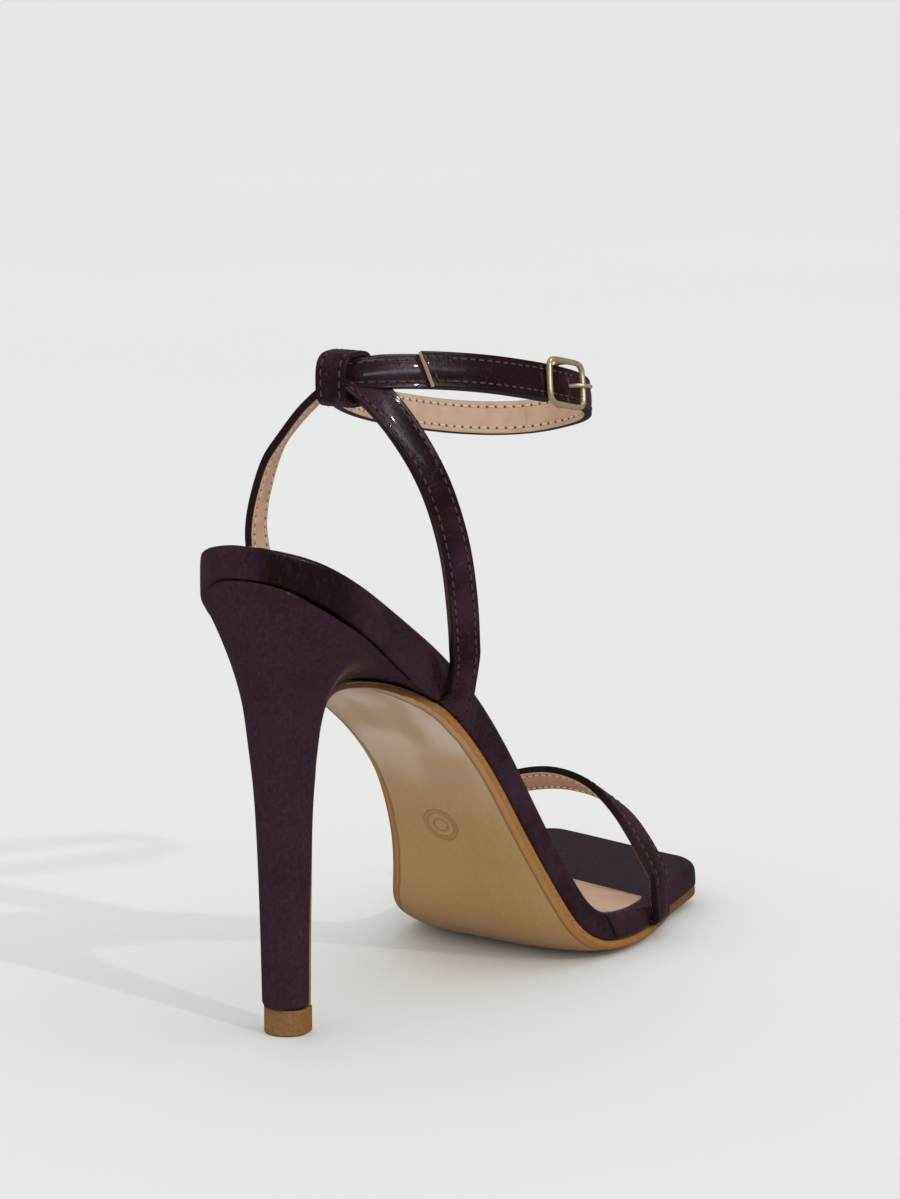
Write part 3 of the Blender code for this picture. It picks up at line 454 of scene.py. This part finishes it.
def table_value(table, column, at):
    """Read one column of a table at a place between its rows, smoothly and without overshoot."""
    xs = [row[0] for row in table]
    ys = [row[column] for row in table]
    if at <= xs[0]:
        return ys[0]
    if at >= xs[-1]:
        return ys[-1]
    steps = [xs[i + 1] - xs[i] for i in range(len(xs) - 1)]
    rates = [(ys[i + 1] - ys[i]) / steps[i] for i in range(len(steps))]
    slopes = [rates[0]]
    for i in range(1, len(steps)):
        before, after = rates[i - 1], rates[i]
        if before * after <= 0.0:
            slopes.append(0.0)
        else:
            first = 2.0 * steps[i] + steps[i - 1]
            second = steps[i] + 2.0 * steps[i - 1]
            slopes.append((first + second) / (first / before + second / after))
    slopes.append(rates[-1])
    i = max(k for k in range(len(steps)) if xs[k] <= at)
    t = (at - xs[i]) / steps[i]
    start = ys[i] * (1.0 + 2.0 * t) * (1.0 - t) ** 2 + slopes[i] * steps[i] * t * (1.0 - t) ** 2
    end = ys[i + 1] * t * t * (3.0 - 2.0 * t) + slopes[i + 1] * steps[i] * t * t * (t - 1.0)
    return start + end


def ease(value):
    """Go smoothly from 0 to 1."""
    value = min(1.0, max(0.0, value))
    return value * value * (3.0 - 2.0 * value)


def curve_at(points, place):
    """Read a curve through rows of numbers at a place, where each whole number is a row."""
    i = min(len(points) - 2, max(0, int(place)))
    t = place - i
    before = points[max(0, i - 1)]
    after = points[min(len(points) - 1, i + 2)]
    row = []
    for a, b, c, d in zip(before, points[i], points[i + 1], after):
        linear = 0.5 * (c - a) * t
        square = (a - 2.5 * b + 2.0 * c - 0.5 * d) * t * t
        cube = 0.5 * (d - a + 3.0 * (b - c)) * t ** 3
        row.append(b + linear + square + cube)
    return row


def smooth_points(points, steps):
    """Pass a curve through rows of numbers, with the same number of steps between them."""
    return [curve_at(points, k / steps) for k in range((len(points) - 1) * steps + 1)]


def slant(x, y):
    """How far a section line of the footbed lies ahead of its middle, at a place across it."""
    share = (x + SEAT_BACK) / FOOTBED_LENGTH
    bow = BALL_BOW * ease(2.8 * share - 1.15) * (1.0 - ease(3.0 * share - 1.9))
    return TOE_SKEW * ease(2.8 * share - 1.15) * y + bow * y * y / BALL_WIDTH


def half_width(x, side):
    """Half width of the footbed on one side."""
    from_back = x + SEAT_BACK
    return BALL_WIDTH * table_value(FOOTBED_TABLE, 2 if side < 0 else 3, from_back / FOOTBED_LENGTH)


def underside(x):
    """Height of the footbed's underside at a place along X."""
    return TREAD + SEAT_RISE * table_value(FOOTBED_TABLE, 1, (x + SEAT_BACK) / FOOTBED_LENGTH)


def bed_normal(x):
    """Direction across the footbed's thickness."""
    return Vector((underside(x - 0.5) - underside(x + 0.5), 0.0, 1.0)).normalized()


def wall_corner(x, side):
    """Lower corner of the footbed's wall."""
    across = side * half_width(x, side)
    return Vector((x + slant(x, across), across, underside(x)))


def tab_frame(x, side):
    """Lower corner of the wall, with the directions along it, up the wall and out."""
    up = bed_normal(x)
    edge = wall_corner(x + 1.0, side) - wall_corner(x - 1.0, side)
    edge = (edge - up * edge.dot(up)).normalized() * -side
    return wall_corner(x, side), edge, up, edge.cross(up)


def slanted(edge, along, width):
    """Width vector of a strap that is cut off along an edge."""
    return edge * (width / edge.normalized().cross(along.normalized()).length / edge.length)


def lasted_end(x, side, width, first):
    """End of a strap: down the footbed's wall, round its lower edge and under it."""
    corner, edge, up, out = tab_frame(x, side)
    if edge.dot(first[1]) < 0.0:
        edge = -edge
    fold = corner + up * (TAB_BEND + TAB_THICKNESS / 2.0) + out * (GAP + STRAP_THICKNESS / 2.0)
    bend = fold.lerp(first[0], 0.5) + out * 0.15
    rows = []
    for share in (0.8, 0.6, 0.4, 0.2, 0.0):
        middle = fold.lerp(bend, share).lerp(bend.lerp(first[0], share), share)
        run = bend.lerp(first[0], share) - fold.lerp(bend, share)
        face = out.lerp(first[2].normalized(), share).normalized()
        lean = edge.lerp(first[1].normalized(), share)
        rows.append((middle, slanted(lean, run, width), face, STRAP_THICKNESS))
    wide = rows[-1][1]
    center = fold - out * TAB_BEND
    for angle in (30.0, 60.0, 90.0):
        turn = math.radians(angle)
        thin = STRAP_THICKNESS + (TAB_THICKNESS - STRAP_THICKNESS) * angle / 90.0
        ray = out * math.cos(turn) - up * math.sin(turn)
        rows.append((center + ray * TAB_BEND, wide, ray, thin))
    rows.append((rows[-1][0] - out * TAB_LENGTH, wide, rows[-1][2], TAB_THICKNESS))
    return rows


def band_rows(middles, faces, width, squeeze):
    """Rows of a strap's run: middle, width vector, outer face and thickness."""
    rows = []
    for i, middle in enumerate(middles):
        along = (middles[min(len(middles) - 1, i + 1)] - middles[max(0, i - 1)]).normalized()
        face = (faces[i] - along * faces[i].dot(along)).normalized()
        rows.append((middle, along.cross(face) * width * squeeze(middle), face, STRAP_THICKNESS))
    return rows


def strap_run(rows, width):
    """Measure a run, so that a flat strap can be laid along it."""
    fine = smooth_points([(*middle, *wide, *face, thick) for middle, wide, face, thick in rows],
                         RUN_STEPS)
    fine = np.array(fine)
    steps = np.linalg.norm(np.diff(fine[:, :3], axis=0), axis=1)
    return {"rows": fine, "lengths": np.concatenate(([0.0], np.cumsum(steps))), "width": width}


def lay_on(piece, run):
    """Bend a flat piece, which lies along X, onto a run."""
    count = len(piece.data.vertices)
    flat = np.zeros(count * 3)
    piece.data.vertices.foreach_get("co", flat)
    flat = flat.reshape(-1, 3) / MM
    row = np.array([np.interp(flat[:, 0], run["lengths"], column) for column in run["rows"].T]).T
    face = row[:, 6:9] / np.linalg.norm(row[:, 6:9], axis=1)[:, None]
    deep = (flat[:, 2] * row[:, 9] / STRAP_THICKNESS)[:, None]
    placed = row[:, :3] + row[:, 3:6] * (flat[:, 1] / run["width"])[:, None] + face * deep
    piece.data.vertices.foreach_set("co", (placed * MM).ravel())
    piece.data.update()


def pricked_rows(along, across, row, small, large):
    """Holes that the needle pricks inside both edges, and the distance from their rows."""
    pitch = STITCH_PITCH * MM
    near = (across.absolute() - row * MM).absolute()
    cell = (along / pitch).fraction() - 0.5
    away = (cell * cell * pitch ** 2 + near * near).root()
    return 1.0 - away.step(small, large), near


def strap_leather(name, row, width, crinkle, gloss, brown, punched=()):
    """Patent leather that follows a strap, with a pricked row inside each edge. crinkle: how pale
    the crests of its crinkles are painted, a painted highlight. brown: middle and reach of a darker
    length of it. punched: places of the buckle holes along it. All holes are painted near black, as
    painted shade inside them."""
    material, shader, place = new_finish(name, 0.28, Coat_Roughness=0.05, Specular_IOR_Level=0.25)
    flat = place.node("ShaderNodeUVMap", {"uv_map": "flat"}, {}).stretched(MM, MM, 1.0)
    cloud = flat.noise(70.0, 3.0)
    mottle = flat.noise(1300.0, 3.0)
    wrinkle = flat.stretched(1.0, 0.6, 1.0).noise(820.0, 4.0, 1.6)
    fine = flat.noise(3600.0, 2.0)
    along, across = flat.split(0), flat.split(1)
    hole, near = pricked_rows(along, across, row, 0.00018, 0.00034)
    for place_along in punched:
        off = along - place_along * MM
        hole = hole + 1.0 - (off * off + across * across).root().step(0.0006, 0.0008)
    shade = cloud.step(0.40, 0.62)
    tone = (mottle.step(0.3, 0.75) * 0.3 + shade * 0.7).blend(PLUM, PLUM_DARK)
    here = along.band(brown[0] * MM, brown[1] * MM, 0.008)
    tone = (here * 0.75).blend(tone, PLUM_BROWN)
    # The crests of the crinkles are painted paler: a painted highlight.
    tone = (wrinkle.step(0.55, 0.80) * crinkle).blend(tone, PLUM_GLINT)
    rim = across.absolute().step((width / 2.0 - 0.42) * MM, (width / 2.0 - 0.2) * MM)
    tone = (rim * 0.6).blend(tone, PLUM_DARK)
    # The pricked and punched holes are painted near black: painted shade inside them.
    feed(shader, "Base Color", (hole * 0.85).blend(tone, HOLE_SHADE_BLACK))
    feed(shader, "Roughness", 0.24 + (mottle - 0.5) * 0.14 + rim * 0.1)
    feed(shader, "Coat Weight", (gloss + shade * 0.3) * (1.0 - here * 0.6) * (1.0 - hole))
    fold = 1.0 - near.step(0.0, 0.0006)
    crinkled = relief(wrinkle, 0.00009, relief(fine, 0.00003))
    feed(shader, "Normal", relief(0.0 - hole - fold * 0.5, 0.00016, crinkled))
    return material


def strap_lining(name, row):
    """Beige lining that follows a strap, pricked by the needle. Its creases and holes are painted
    darker, as painted shade.
    """
    material, shader, place = new_finish(name, 0.62, Specular_IOR_Level=0.3)
    flat = place.node("ShaderNodeUVMap", {"uv_map": "flat"}, {}).stretched(MM, MM, 1.0)
    cloud = flat.noise(200.0, 3.0)
    grain = flat.noise(2600.0, 3.0)
    crease = flat.stretched(1.0, 0.18, 1.0).noise(260.0, 2.0, 0.6)
    hole, near = pricked_rows(flat.split(0), flat.split(1), row, 0.00022, 0.00042)
    tone = (cloud.step(0.35, 0.7) * 0.5 + grain.step(0.4, 0.8) * 0.3).blend(BEIGE, BEIGE_DEEP)
    # The creases are painted darker: painted shade in them.
    tone = (crease.step(0.60, 0.72) * 0.5).blend(tone, BEIGE_CREASE_SHADE)
    # The needle's holes are painted dark brown: painted shade inside them.
    feed(shader, "Base Color", (hole * 0.9).blend(tone, HOLE_SHADE_BROWN))
    feed(shader, "Roughness", 0.55 + grain * 0.15)
    fold = 1.0 - near.step(0.0, 0.0006)
    low = relief(grain, 0.00004)
    feed(shader, "Normal", relief(0.0 - hole + crease * 0.5 - fold * 0.5, 0.00014, low))
    return material


def thread_finish(name, color):
    """Waxed thread."""
    material, shader, place = new_finish(name, 0.45, Specular_IOR_Level=0.4)
    twist = place.noise(2500.0, 1.0)
    dark = tuple(channel * 0.6 for channel in color[:3]) + (1.0,)
    feed(shader, "Base Color", twist.step(0.3, 0.7).blend(color, dark))
    feed(shader, "Roughness", 0.35 + twist * 0.2)
    return material


plum_thread = thread_finish("plum_thread", THREAD_PLUM)
cream_thread = thread_finish("cream_thread", THREAD_CREAM)


def flat_strap(name, length, width, segments, lined=True, crown=0.16):
    """Cut a strap flat along X: its edges turned in, its face padded, its lining set in."""
    bpy.ops.object.select_all(action="DESELECT")
    bpy.ops.mesh.primitive_grid_add(x_subdivisions=segments, y_subdivisions=STRAP_COLUMNS, size=1.0)
    piece = bpy.context.object
    piece.name = piece.data.name = name
    half = width / 2.0
    inner = (half - STITCH_MARGIN) / half
    shares = (0.0, 0.35 * inner, 0.68 * inner, 0.88 * inner, inner, 0.5 + 0.5 * inner,
              1.0 - 0.40 / half, 1.0 - 0.22 / half, 1.0)
    for vertex in piece.data.vertices:
        column = round(vertex.co.y * STRAP_COLUMNS)
        share = math.copysign(shares[abs(column)], column)
        vertex.co = Vector(((vertex.co.x + 0.5) * length * MM, share * half * MM, 0.0))
    wall = piece.modifiers.new("Wall", "SOLIDIFY")
    wall.thickness = STRAP_THICKNESS * MM
    wall.offset = 0.0
    wall.material_offset = 1
    bpy.ops.object.modifier_apply(modifier=wall.name)
    rim = piece.modifiers.new("Rim", "BEVEL")
    rim.width = EDGE_ROUND * MM
    rim.segments = 3
    rim.limit_method = "ANGLE"
    rim.angle_limit = math.radians(60)
    bpy.ops.object.modifier_apply(modifier=rim.name)
    for vertex in piece.data.vertices:
        across = abs(vertex.co.y) / MM
        trough = 1.0 - ease(abs(across - (half - STITCH_MARGIN)) / 0.8)
        middle = ease((half - STITCH_MARGIN - across) / 2.0)
        if vertex.co.z > 0.0 and across < half - 0.35:
            vertex.co.z += (crown * middle - STITCH_TROUGH * trough) * MM
        elif vertex.co.z < 0.0 and lined and across < half - 0.30:
            vertex.co.z -= (LINING_PROUD - LINING_TROUGH * trough) * MM
    layer = piece.data.uv_layers.get("flat") or piece.data.uv_layers.new(name="flat")
    for loop in piece.data.loops:
        co = piece.data.vertices[loop.vertex_index].co
        layer.data[loop.index].uv = (co.x / MM, co.y / MM)
    for face in piece.data.polygons:
        under = face.normal.z < -0.3 and abs(face.center.y) / MM < half - 0.16
        face.material_index = 1 if under and lined else 0
    return piece


def stitches(name, lines, side, thread):
    """Stitch lines on one side of a flat strap. Each line goes from (x, y) to (x, y)."""
    parts = []
    for first, last in lines:
        bpy.ops.object.select_all(action="DESELECT")
        bpy.ops.mesh.primitive_ico_sphere_add(subdivisions=2, radius=1.0)
        stitch = bpy.context.object
        up = side * (STRAP_THICKNESS / 2.0 + (0.0 if side > 0 else LINING_STITCH))
        start, run = Vector(first), Vector(last) - Vector(first)
        count = max(1, int(run.length / STITCH_PITCH))
        along = run.normalized()
        for vertex in stitch.data.vertices:
            x, y, z = vertex.co
            x = math.copysign(min(1.0, abs(x) * 1.25), x)
            end = 1.0 - 0.5 * abs(x) ** 3
            tuck = side * STITCH_TUCK * abs(x) ** 3
            wide = Vector((-along.y, along.x)) * STITCH_WIDE * y * end
            flat = start + along * x * STITCH_LENGTH / 2.0 + wide
            vertex.co = Vector((flat.x, flat.y, up + STITCH_HIGH * z - tuck)) * MM
        row = stitch.modifiers.new("Row", "ARRAY")
        row.count = count
        row.use_relative_offset = False
        row.use_constant_offset = True
        row.constant_offset_displace = (along * STITCH_PITCH * MM).to_3d()
        bpy.ops.object.modifier_apply(modifier=row.name)
        parts.append(stitch)
    bpy.ops.object.select_all(action="DESELECT")
    for part in parts:
        part.select_set(True)
    bpy.context.view_layer.objects.active = parts[0]
    if len(parts) > 1:
        bpy.ops.object.join()
    piece = bpy.context.object
    piece.name = piece.data.name = name
    piece.data.materials.append(thread)
    bpy.ops.object.shade_smooth()
    return piece


def finish_strap(piece, run, leather, lining_leather, *nodes):
    """Lay a flat strap on its run and give it its leathers."""
    lay_on(piece, run)
    select_only(piece)
    bpy.ops.object.shade_smooth_by_angle(angle=math.radians(50))
    piece.data.materials.append(leather)
    piece.data.materials.append(lining_leather)
    settle(piece, "plum_leather", *nodes)


def edge_lines(row, first, last):
    """Two lines of stitches, one along each edge, that meet the pricked holes."""
    first = STITCH_PITCH * math.ceil(first / STITCH_PITCH)
    return [((first, across), (last, across)) for across in (row, -row)]


def sew(name, run, lines, tip_lines=()):
    """Sew a strap that lies on its run: plum thread outside, with the tip's lines too, and cream
    thread on the lining."""
    for side, thread, face, slot in ((1, plum_thread, "outer", "plum_leather"),
                                     (-1, cream_thread, "lining", "beige_lining")):
        own = [*lines, *tip_lines] if side > 0 else lines
        sewn = stitches(f"{name}_{face}_thread", own, side, thread)
        lay_on(sewn, run)
        settle(sewn, slot)


def no_squeeze(point):
    """A strap that nothing squeezes keeps its width."""
    return 1.0


left = wall_corner(TOE_STRAP_OUTER - SEAT_BACK, -1)
right = wall_corner(TOE_STRAP_INNER - SEAT_BACK, 1)
middles, faces = [], []
for ahead, across, rise, lean in smooth_points(TOE_STRAP_TABLE, TABLE_STEPS):
    y = across * BALL_WIDTH
    x = left.x + (right.x - left.x) * (y - left.y) / (right.y - left.y) + ahead * BALL_WIDTH
    middles.append(Vector((x, y, left.z + (TOE_STRAP_RISE - left.z) * rise)))
    side = Vector((0.0, across * 2.0, 1.2 * rise)).normalized()
    lean = math.radians(lean)
    faces.append(side * math.cos(lean) + Vector((math.sin(lean), 0.0, 0.0)))
body = band_rows(middles, faces, TOE_STRAP_WIDTH, no_squeeze)
start = lasted_end(TOE_STRAP_OUTER - SEAT_BACK, -1, TOE_STRAP_WIDTH, body[0])
end = lasted_end(TOE_STRAP_INNER - SEAT_BACK, 1, TOE_STRAP_WIDTH, body[-1])
toe_run = strap_run(list(reversed(start)) + body + end, TOE_STRAP_WIDTH)
length = toe_run["lengths"][-1]
toe_strap = flat_strap("toe_strap_leather", length, TOE_STRAP_WIDTH, 120)
toe_row = TOE_STRAP_WIDTH / 2.0 - STITCH_MARGIN
toe_patent = strap_leather("toe_strap_patent", toe_row, TOE_STRAP_WIDTH, crinkle=0.25, gloss=0.25,
                           brown=(length / 2.0, 12.0))
toe_lining = strap_lining("toe_strap_lining", toe_row)
finish_strap(toe_strap, toe_run, toe_patent, toe_lining, "toe_strap")
sew("toe_strap", toe_run, edge_lines(toe_row, 16.0, length - 14.0))


# Sling. One strap from the outer waist up behind the ankle and down to the inner waist, made as
# the toe strap is. The keeper squeezes it a little where it crosses the ankle strap.
STRAP_WIDTH = 8.2
STRAP_RISE = 153.5
SLING_OUTER = 60.0
SLING_INNER = 63.5
KEEPER_LENGTH = 8.0
KEEPER_PINCH = 0.90
SLING_TABLE = [
    # ahead, across, rise, turn, lift
    (0.209, -0.372, 0.560, 24.0, 2.0),
    (0.192, -0.388, 0.645, 27.0, 4.0),
    (0.175, -0.382, 0.742, 26.0, 7.0),
    (0.159, -0.333, 0.838, 25.0, 13.0),
    (0.147, -0.240, 0.917, 32.0, 24.0),
    (0.138, -0.123, 0.977, 58.0, 38.0),
    (0.132, 0.000, 1.000, 128.0, 58.0),
    (0.137, 0.100, 0.970, 164.0, 60.0),
    (0.148, 0.238, 0.912, 166.0, 38.0),
    (0.161, 0.345, 0.852, 172.0, 20.0),
    (0.174, 0.425, 0.743, 176.0, 8.0),
    (0.192, 0.405, 0.640, 179.0, 4.0),
    (0.213, 0.325, 0.548, 180.0, 2.0),
]
crossing = Vector((0.132 * FOOTBED_LENGTH, 0.0, STRAP_RISE))


def keeper_squeeze(point):
    """Share of a strap's width that is left by the squeeze of the keeper."""
    away = (point - crossing).length
    return 1.0 - (1.0 - KEEPER_PINCH) * (1.0 - ease((away - KEEPER_LENGTH / 2.0 - 0.6) / 6.0))


middles, faces = [], []
for ahead, across, rise, turn, lift in smooth_points(SLING_TABLE, TABLE_STEPS):
    middles.append(Vector((ahead * FOOTBED_LENGTH, across * BALL_WIDTH, rise * STRAP_RISE)))
    turn, lift = math.radians(turn), math.radians(lift)
    flat = Vector((-math.sin(turn), -math.cos(turn), 0.0))
    faces.append(flat * math.cos(lift) + Vector((0.0, 0.0, math.sin(lift))))
body = band_rows(middles, faces, STRAP_WIDTH, keeper_squeeze)
start = lasted_end(SLING_OUTER - SEAT_BACK, -1, STRAP_WIDTH, body[0])
end = lasted_end(SLING_INNER - SEAT_BACK, 1, STRAP_WIDTH, body[-1])
sling_run = strap_run(list(reversed(start)) + body + end, STRAP_WIDTH)
length = sling_run["lengths"][-1]
sling = flat_strap("sling_leather", length, STRAP_WIDTH, 200)
strap_row = STRAP_WIDTH / 2.0 - STITCH_MARGIN
sling_patent = strap_leather("sling_patent", strap_row, STRAP_WIDTH, crinkle=0.35, gloss=0.30,
                             brown=(69.0, 8.0))
sling_lining = strap_lining("sling_lining", strap_row)
finish_strap(sling, sling_run, sling_patent, sling_lining)
sew("sling", sling_run, edge_lines(strap_row, 16.0, length - 16.0))


# Ankle strap. It runs through the keeper and round the ankle, and its wider free end lies over
# its start, through the buckle, with a slanted tip that shows the cut edge of the lining.
ANKLE_LENGTH = 72.6
ANKLE_WIDTH = 40.6
ANKLE_TURN = -15.9
ANKLE_DROP = 0.296
ANKLE_LEAN = 0.227
ANKLE_CORNER = 0.8
ANKLE_LAP = 2.6
BUCKLE_ANGLE = 111.5
TAIL_ANGLE = 52.0
TAIL_SLANT = 3.2
TAIL_WIDTH = 8.6
RING_SHIFT = (0.24, 0.57, 0.55)  # from the crossing, where the ring starts
START_PAST_BAR = 3.5             # degrees of the strap's start past the buckle's bar
ANKLE_ROWS = 66
ROWS_PAST_TIP = 3                # the slanted tip reaches past the last row
HOLES = (43.0, 49.5)             # from the tip: one in the buckle's window, one for the prong
ring_plane = Vector((ANKLE_DROP, ANKLE_LEAN, 1.0)).normalized()


def ring_point(angle):
    """Point on the ankle ring. The angle starts at the crossing and runs over the outer side."""
    turn = math.radians(angle)
    reach, sway = -math.cos(turn), math.sin(turn)
    if reach > 0.0:
        reach = reach ** ANKLE_CORNER
    share = (1.0 + reach) / 2.0
    along = ANKLE_LENGTH * share
    power = 1.1 if reach < 0.0 else ANKLE_CORNER
    across = -0.5 * ANKLE_WIDTH * math.copysign(abs(sway) ** power, sway) * (share + 0.02) ** 0.08
    spin = math.radians(ANKLE_TURN)
    flat = Vector((math.cos(spin) * along - math.sin(spin) * across,
                   math.sin(spin) * along + math.cos(spin) * across, 0.0))
    flat.z = -ANKLE_DROP * flat.x - ANKLE_LEAN * flat.y
    return crossing + Vector(RING_SHIFT) + flat


def ring_face(angle):
    """Direction that the ring faces outwards, in its own plane."""
    return (ring_point(angle + 0.5) - ring_point(angle - 0.5)).cross(ring_plane).normalized()


first_angle, last_angle = BUCKLE_ANGLE - START_PAST_BAR, TAIL_ANGLE - 360.0
middles, faces, angles = [], [], []
for i in range(ANKLE_ROWS + 1 + ROWS_PAST_TIP):
    angle = first_angle + (last_angle - first_angle) * i / ANKLE_ROWS
    lift = ANKLE_LAP * ease((-angle - 120.0) / 85.0)
    angles.append(angle)
    faces.append(ring_face(angle))
    middles.append(ring_point(angle) + faces[-1] * lift)
body = band_rows(middles, faces, STRAP_WIDTH, keeper_squeeze)
rows = []
for angle, (middle, wide, face, thick) in zip(angles, body):
    share = ease((-angle - 200.0) / 40.0)
    rows.append((middle, wide * (1.0 + (TAIL_WIDTH / STRAP_WIDTH - 1.0) * share), face, thick))
ankle_run = strap_run(rows, STRAP_WIDTH)
length = ankle_run["lengths"][ANKLE_ROWS * RUN_STEPS]
ankle = flat_strap("ankle_strap_leather", length, STRAP_WIDTH, 200)
slope = TAIL_SLANT / TAIL_WIDTH


def slant_tip(piece, length):
    """Draw the free end of a flat strap out to its slant."""
    for vertex in piece.data.vertices:
        share = ease((vertex.co.x / MM - length + 14.0) / 14.0)
        vertex.co.x += share * slope * vertex.co.y


slant_tip(ankle, length)
for face in ankle.data.polygons:
    if face.normal.x > 0.6 and face.center.x / MM > length - 6.0:
        face.material_index = 1
ankle_patent = strap_leather("ankle_strap_patent", strap_row, STRAP_WIDTH, crinkle=0.35,
                             gloss=0.30, brown=(length - 18.0, 20.0),
                             punched=[length - hole for hole in HOLES])
finish_strap(ankle, ankle_run, ankle_patent, sling_lining, "ankle_and_sling_straps")
tip_row = length - 1.5
tip_line = ((tip_row - 1.6 * slope, -1.6), (tip_row + strap_row * slope, strap_row))
sew("ankle_strap", ankle_run, edge_lines(strap_row, 8.0, length - 2.6), [tip_line])


# Keeper. A short strap sewn into a loop round the crossing, so that it holds both straps.
KEEPER_DEPTH = 13.8
KEEPER_HEIGHT = 13.2
KEEPER_THICKNESS = 1.1
KEEPER_STEPS = 36
KEEPER_ROUND = 0.62  # below 1, the loop's corners are squarer than an oval's
middle = crossing + Vector((1.4, 0.0, -0.1))
rows = []
for i in range(KEEPER_STEPS + 1):
    turn = 2.0 * math.pi * i / KEEPER_STEPS
    c, s = math.cos(turn), math.sin(turn)
    deep = (KEEPER_DEPTH - KEEPER_THICKNESS) / 2.0
    high = (KEEPER_HEIGHT - KEEPER_THICKNESS) / 2.0
    place = Vector((math.copysign(abs(c) ** KEEPER_ROUND, c) * deep, 0.0,
                    math.copysign(abs(s) ** KEEPER_ROUND, s) * high))
    face = Vector((c / deep, 0.0, s / high)).normalized()
    rows.append((middle + place, Vector((0.0, KEEPER_LENGTH, 0.0)), face, KEEPER_THICKNESS))
keeper_run = strap_run(rows, KEEPER_LENGTH)
length = keeper_run["lengths"][-1]
keeper = flat_strap("keeper_leather", length, KEEPER_LENGTH, 96, lined=False, crown=0.10)
keeper_row = KEEPER_LENGTH / 2.0 - STITCH_MARGIN
# The keeper's crinkles take a larger painted highlight, which lightens it.
keeper_patent = strap_leather("keeper_patent", keeper_row, KEEPER_LENGTH, crinkle=0.70, gloss=0.30,
                              brown=(0.0, 1.0))
finish_strap(keeper, keeper_run, keeper_patent, keeper_patent, "keeper_loop")
sewn = stitches("keeper_thread", edge_lines(keeper_row, 0.5, length - 0.5), 1, plum_thread)
lay_on(sewn, keeper_run)
settle(sewn, "plum_leather")


# Buckle. A pale gold frame cast as a rounded wire, its bar behind, and the prong that hangs on it.
GOLD = (0.80, 0.62, 0.38, 1.0)
GOLD_WORN = (0.88, 0.73, 0.50, 1.0)
metal, shader, place = new_finish("pale_gold_plate", 0.24, Metallic=0.72)
wear = place.noise(700.0, 2.0)
feed(shader, "Base Color", wear.step(0.3, 0.8).blend(GOLD, GOLD_WORN))
feed(shader, "Roughness", 0.18 + wear * 0.14)
for node, name in (("buckle_frame", "buckle_frame_metal"), ("buckle_prong", "buckle_prong_metal")):
    piece = take_node(node, name)
    smooth_form(piece, 1, angle=60)
    piece.data.materials.append(metal)
    settle(piece, "pale_gold", node)


# Studio. A pale paper floor that runs out of sight, soft light from all round and a weak sun from
# the right. Two strips of light show only as reflections in the polished leather and the gold.
PAPER = (0.83, 0.84, 0.83, 1.0)
PAPER_PALE = (0.84, 0.85, 0.84, 1.0)
SKY = (0.93, 0.93, 0.93, 1.0)
SKY_MIRRORED = (0.085, 0.075, 0.085, 1.0)
WHITE = (1.0, 1.0, 1.0)
SHOE_MIDDLE = (0.05, 0.0, 0.09)
CAMERA_PLACE = (-1.1109, -0.6700, 0.3499)
CAMERA_SWING = 29.406
CAMERA_TILT = 10.718
bpy.ops.mesh.primitive_plane_add(size=12.0, location=(0.0, 0.0, 0.0))
floor = bpy.context.object
floor.name = "studio_floor"
paper, shader, place = new_finish("studio_paper", 0.75, Specular_IOR_Level=0.2)
feed(shader, "Base Color", place.noise(3.0, 2.0).step(0.2, 0.8).blend(PAPER, PAPER_PALE))
floor.data.materials.append(paper)
floor.visible_glossy = False
floor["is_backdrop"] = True

world = bpy.data.worlds.new("studio")
world.use_nodes = True
backdrop = world.node_tree.nodes["Background"]
rays = world.node_tree.nodes.new("ShaderNodeLightPath")
mirrored = Field(world.node_tree, rays.outputs["Is Glossy Ray"])
feed(backdrop, "Color", mirrored.blend(SKY, SKY_MIRRORED))
bpy.context.scene.world = world


def add_light(kind, name, direction, distance, size, power, color, lights_matt):
    """Light that faces the shoe from a direction. lights_matt: it lights matt surfaces too, and
    isn't only seen as a reflection."""
    light = bpy.data.lights.new(name, kind)
    light.energy = power
    light.color = color
    if kind == "AREA":
        light.shape = "RECTANGLE"
        light.size, light.size_y = size
    else:
        light.angle = math.radians(1.6)
    item = bpy.data.objects.new(name, light)
    bpy.context.scene.collection.objects.link(item)
    toward = Vector(direction).normalized()
    item.location = Vector(SHOE_MIDDLE) + toward * distance
    item.rotation_euler = toward.to_track_quat("Z", "Y").to_euler()
    item.visible_diffuse = lights_matt


add_light("SUN", "key_light", (-0.262, -0.720, 0.643), 2.0, None, 0.42, WHITE, True)
add_light("AREA", "key_box", (-0.50, -0.68, 0.54), 1.3, (1.9, 0.12), 2.4, (0.88, 0.92, 1.0), False)
add_light("AREA", "top_box", (0.15, -0.35, 0.92), 1.3, (0.12, 0.9), 2.5, (0.90, 0.94, 1.0), False)

camera = bpy.data.cameras.new("camera")
camera.sensor_width = 36.0
camera.lens = 168.93
camera.clip_start = 0.05
camera.clip_end = 30.0
view = bpy.data.objects.new("camera", camera)
bpy.context.scene.collection.objects.link(view)
swing, tilt = math.radians(CAMERA_SWING), math.radians(CAMERA_TILT)
aim = Vector((math.cos(swing) * math.cos(tilt), math.sin(swing) * math.cos(tilt), -math.sin(tilt)))
view.location = CAMERA_PLACE
view.rotation_euler = aim.to_track_quat("-Z", "Y").to_euler()
bpy.context.scene.camera = view
bpy.context.scene.view_settings.view_transform = "Standard"

low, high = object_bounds()
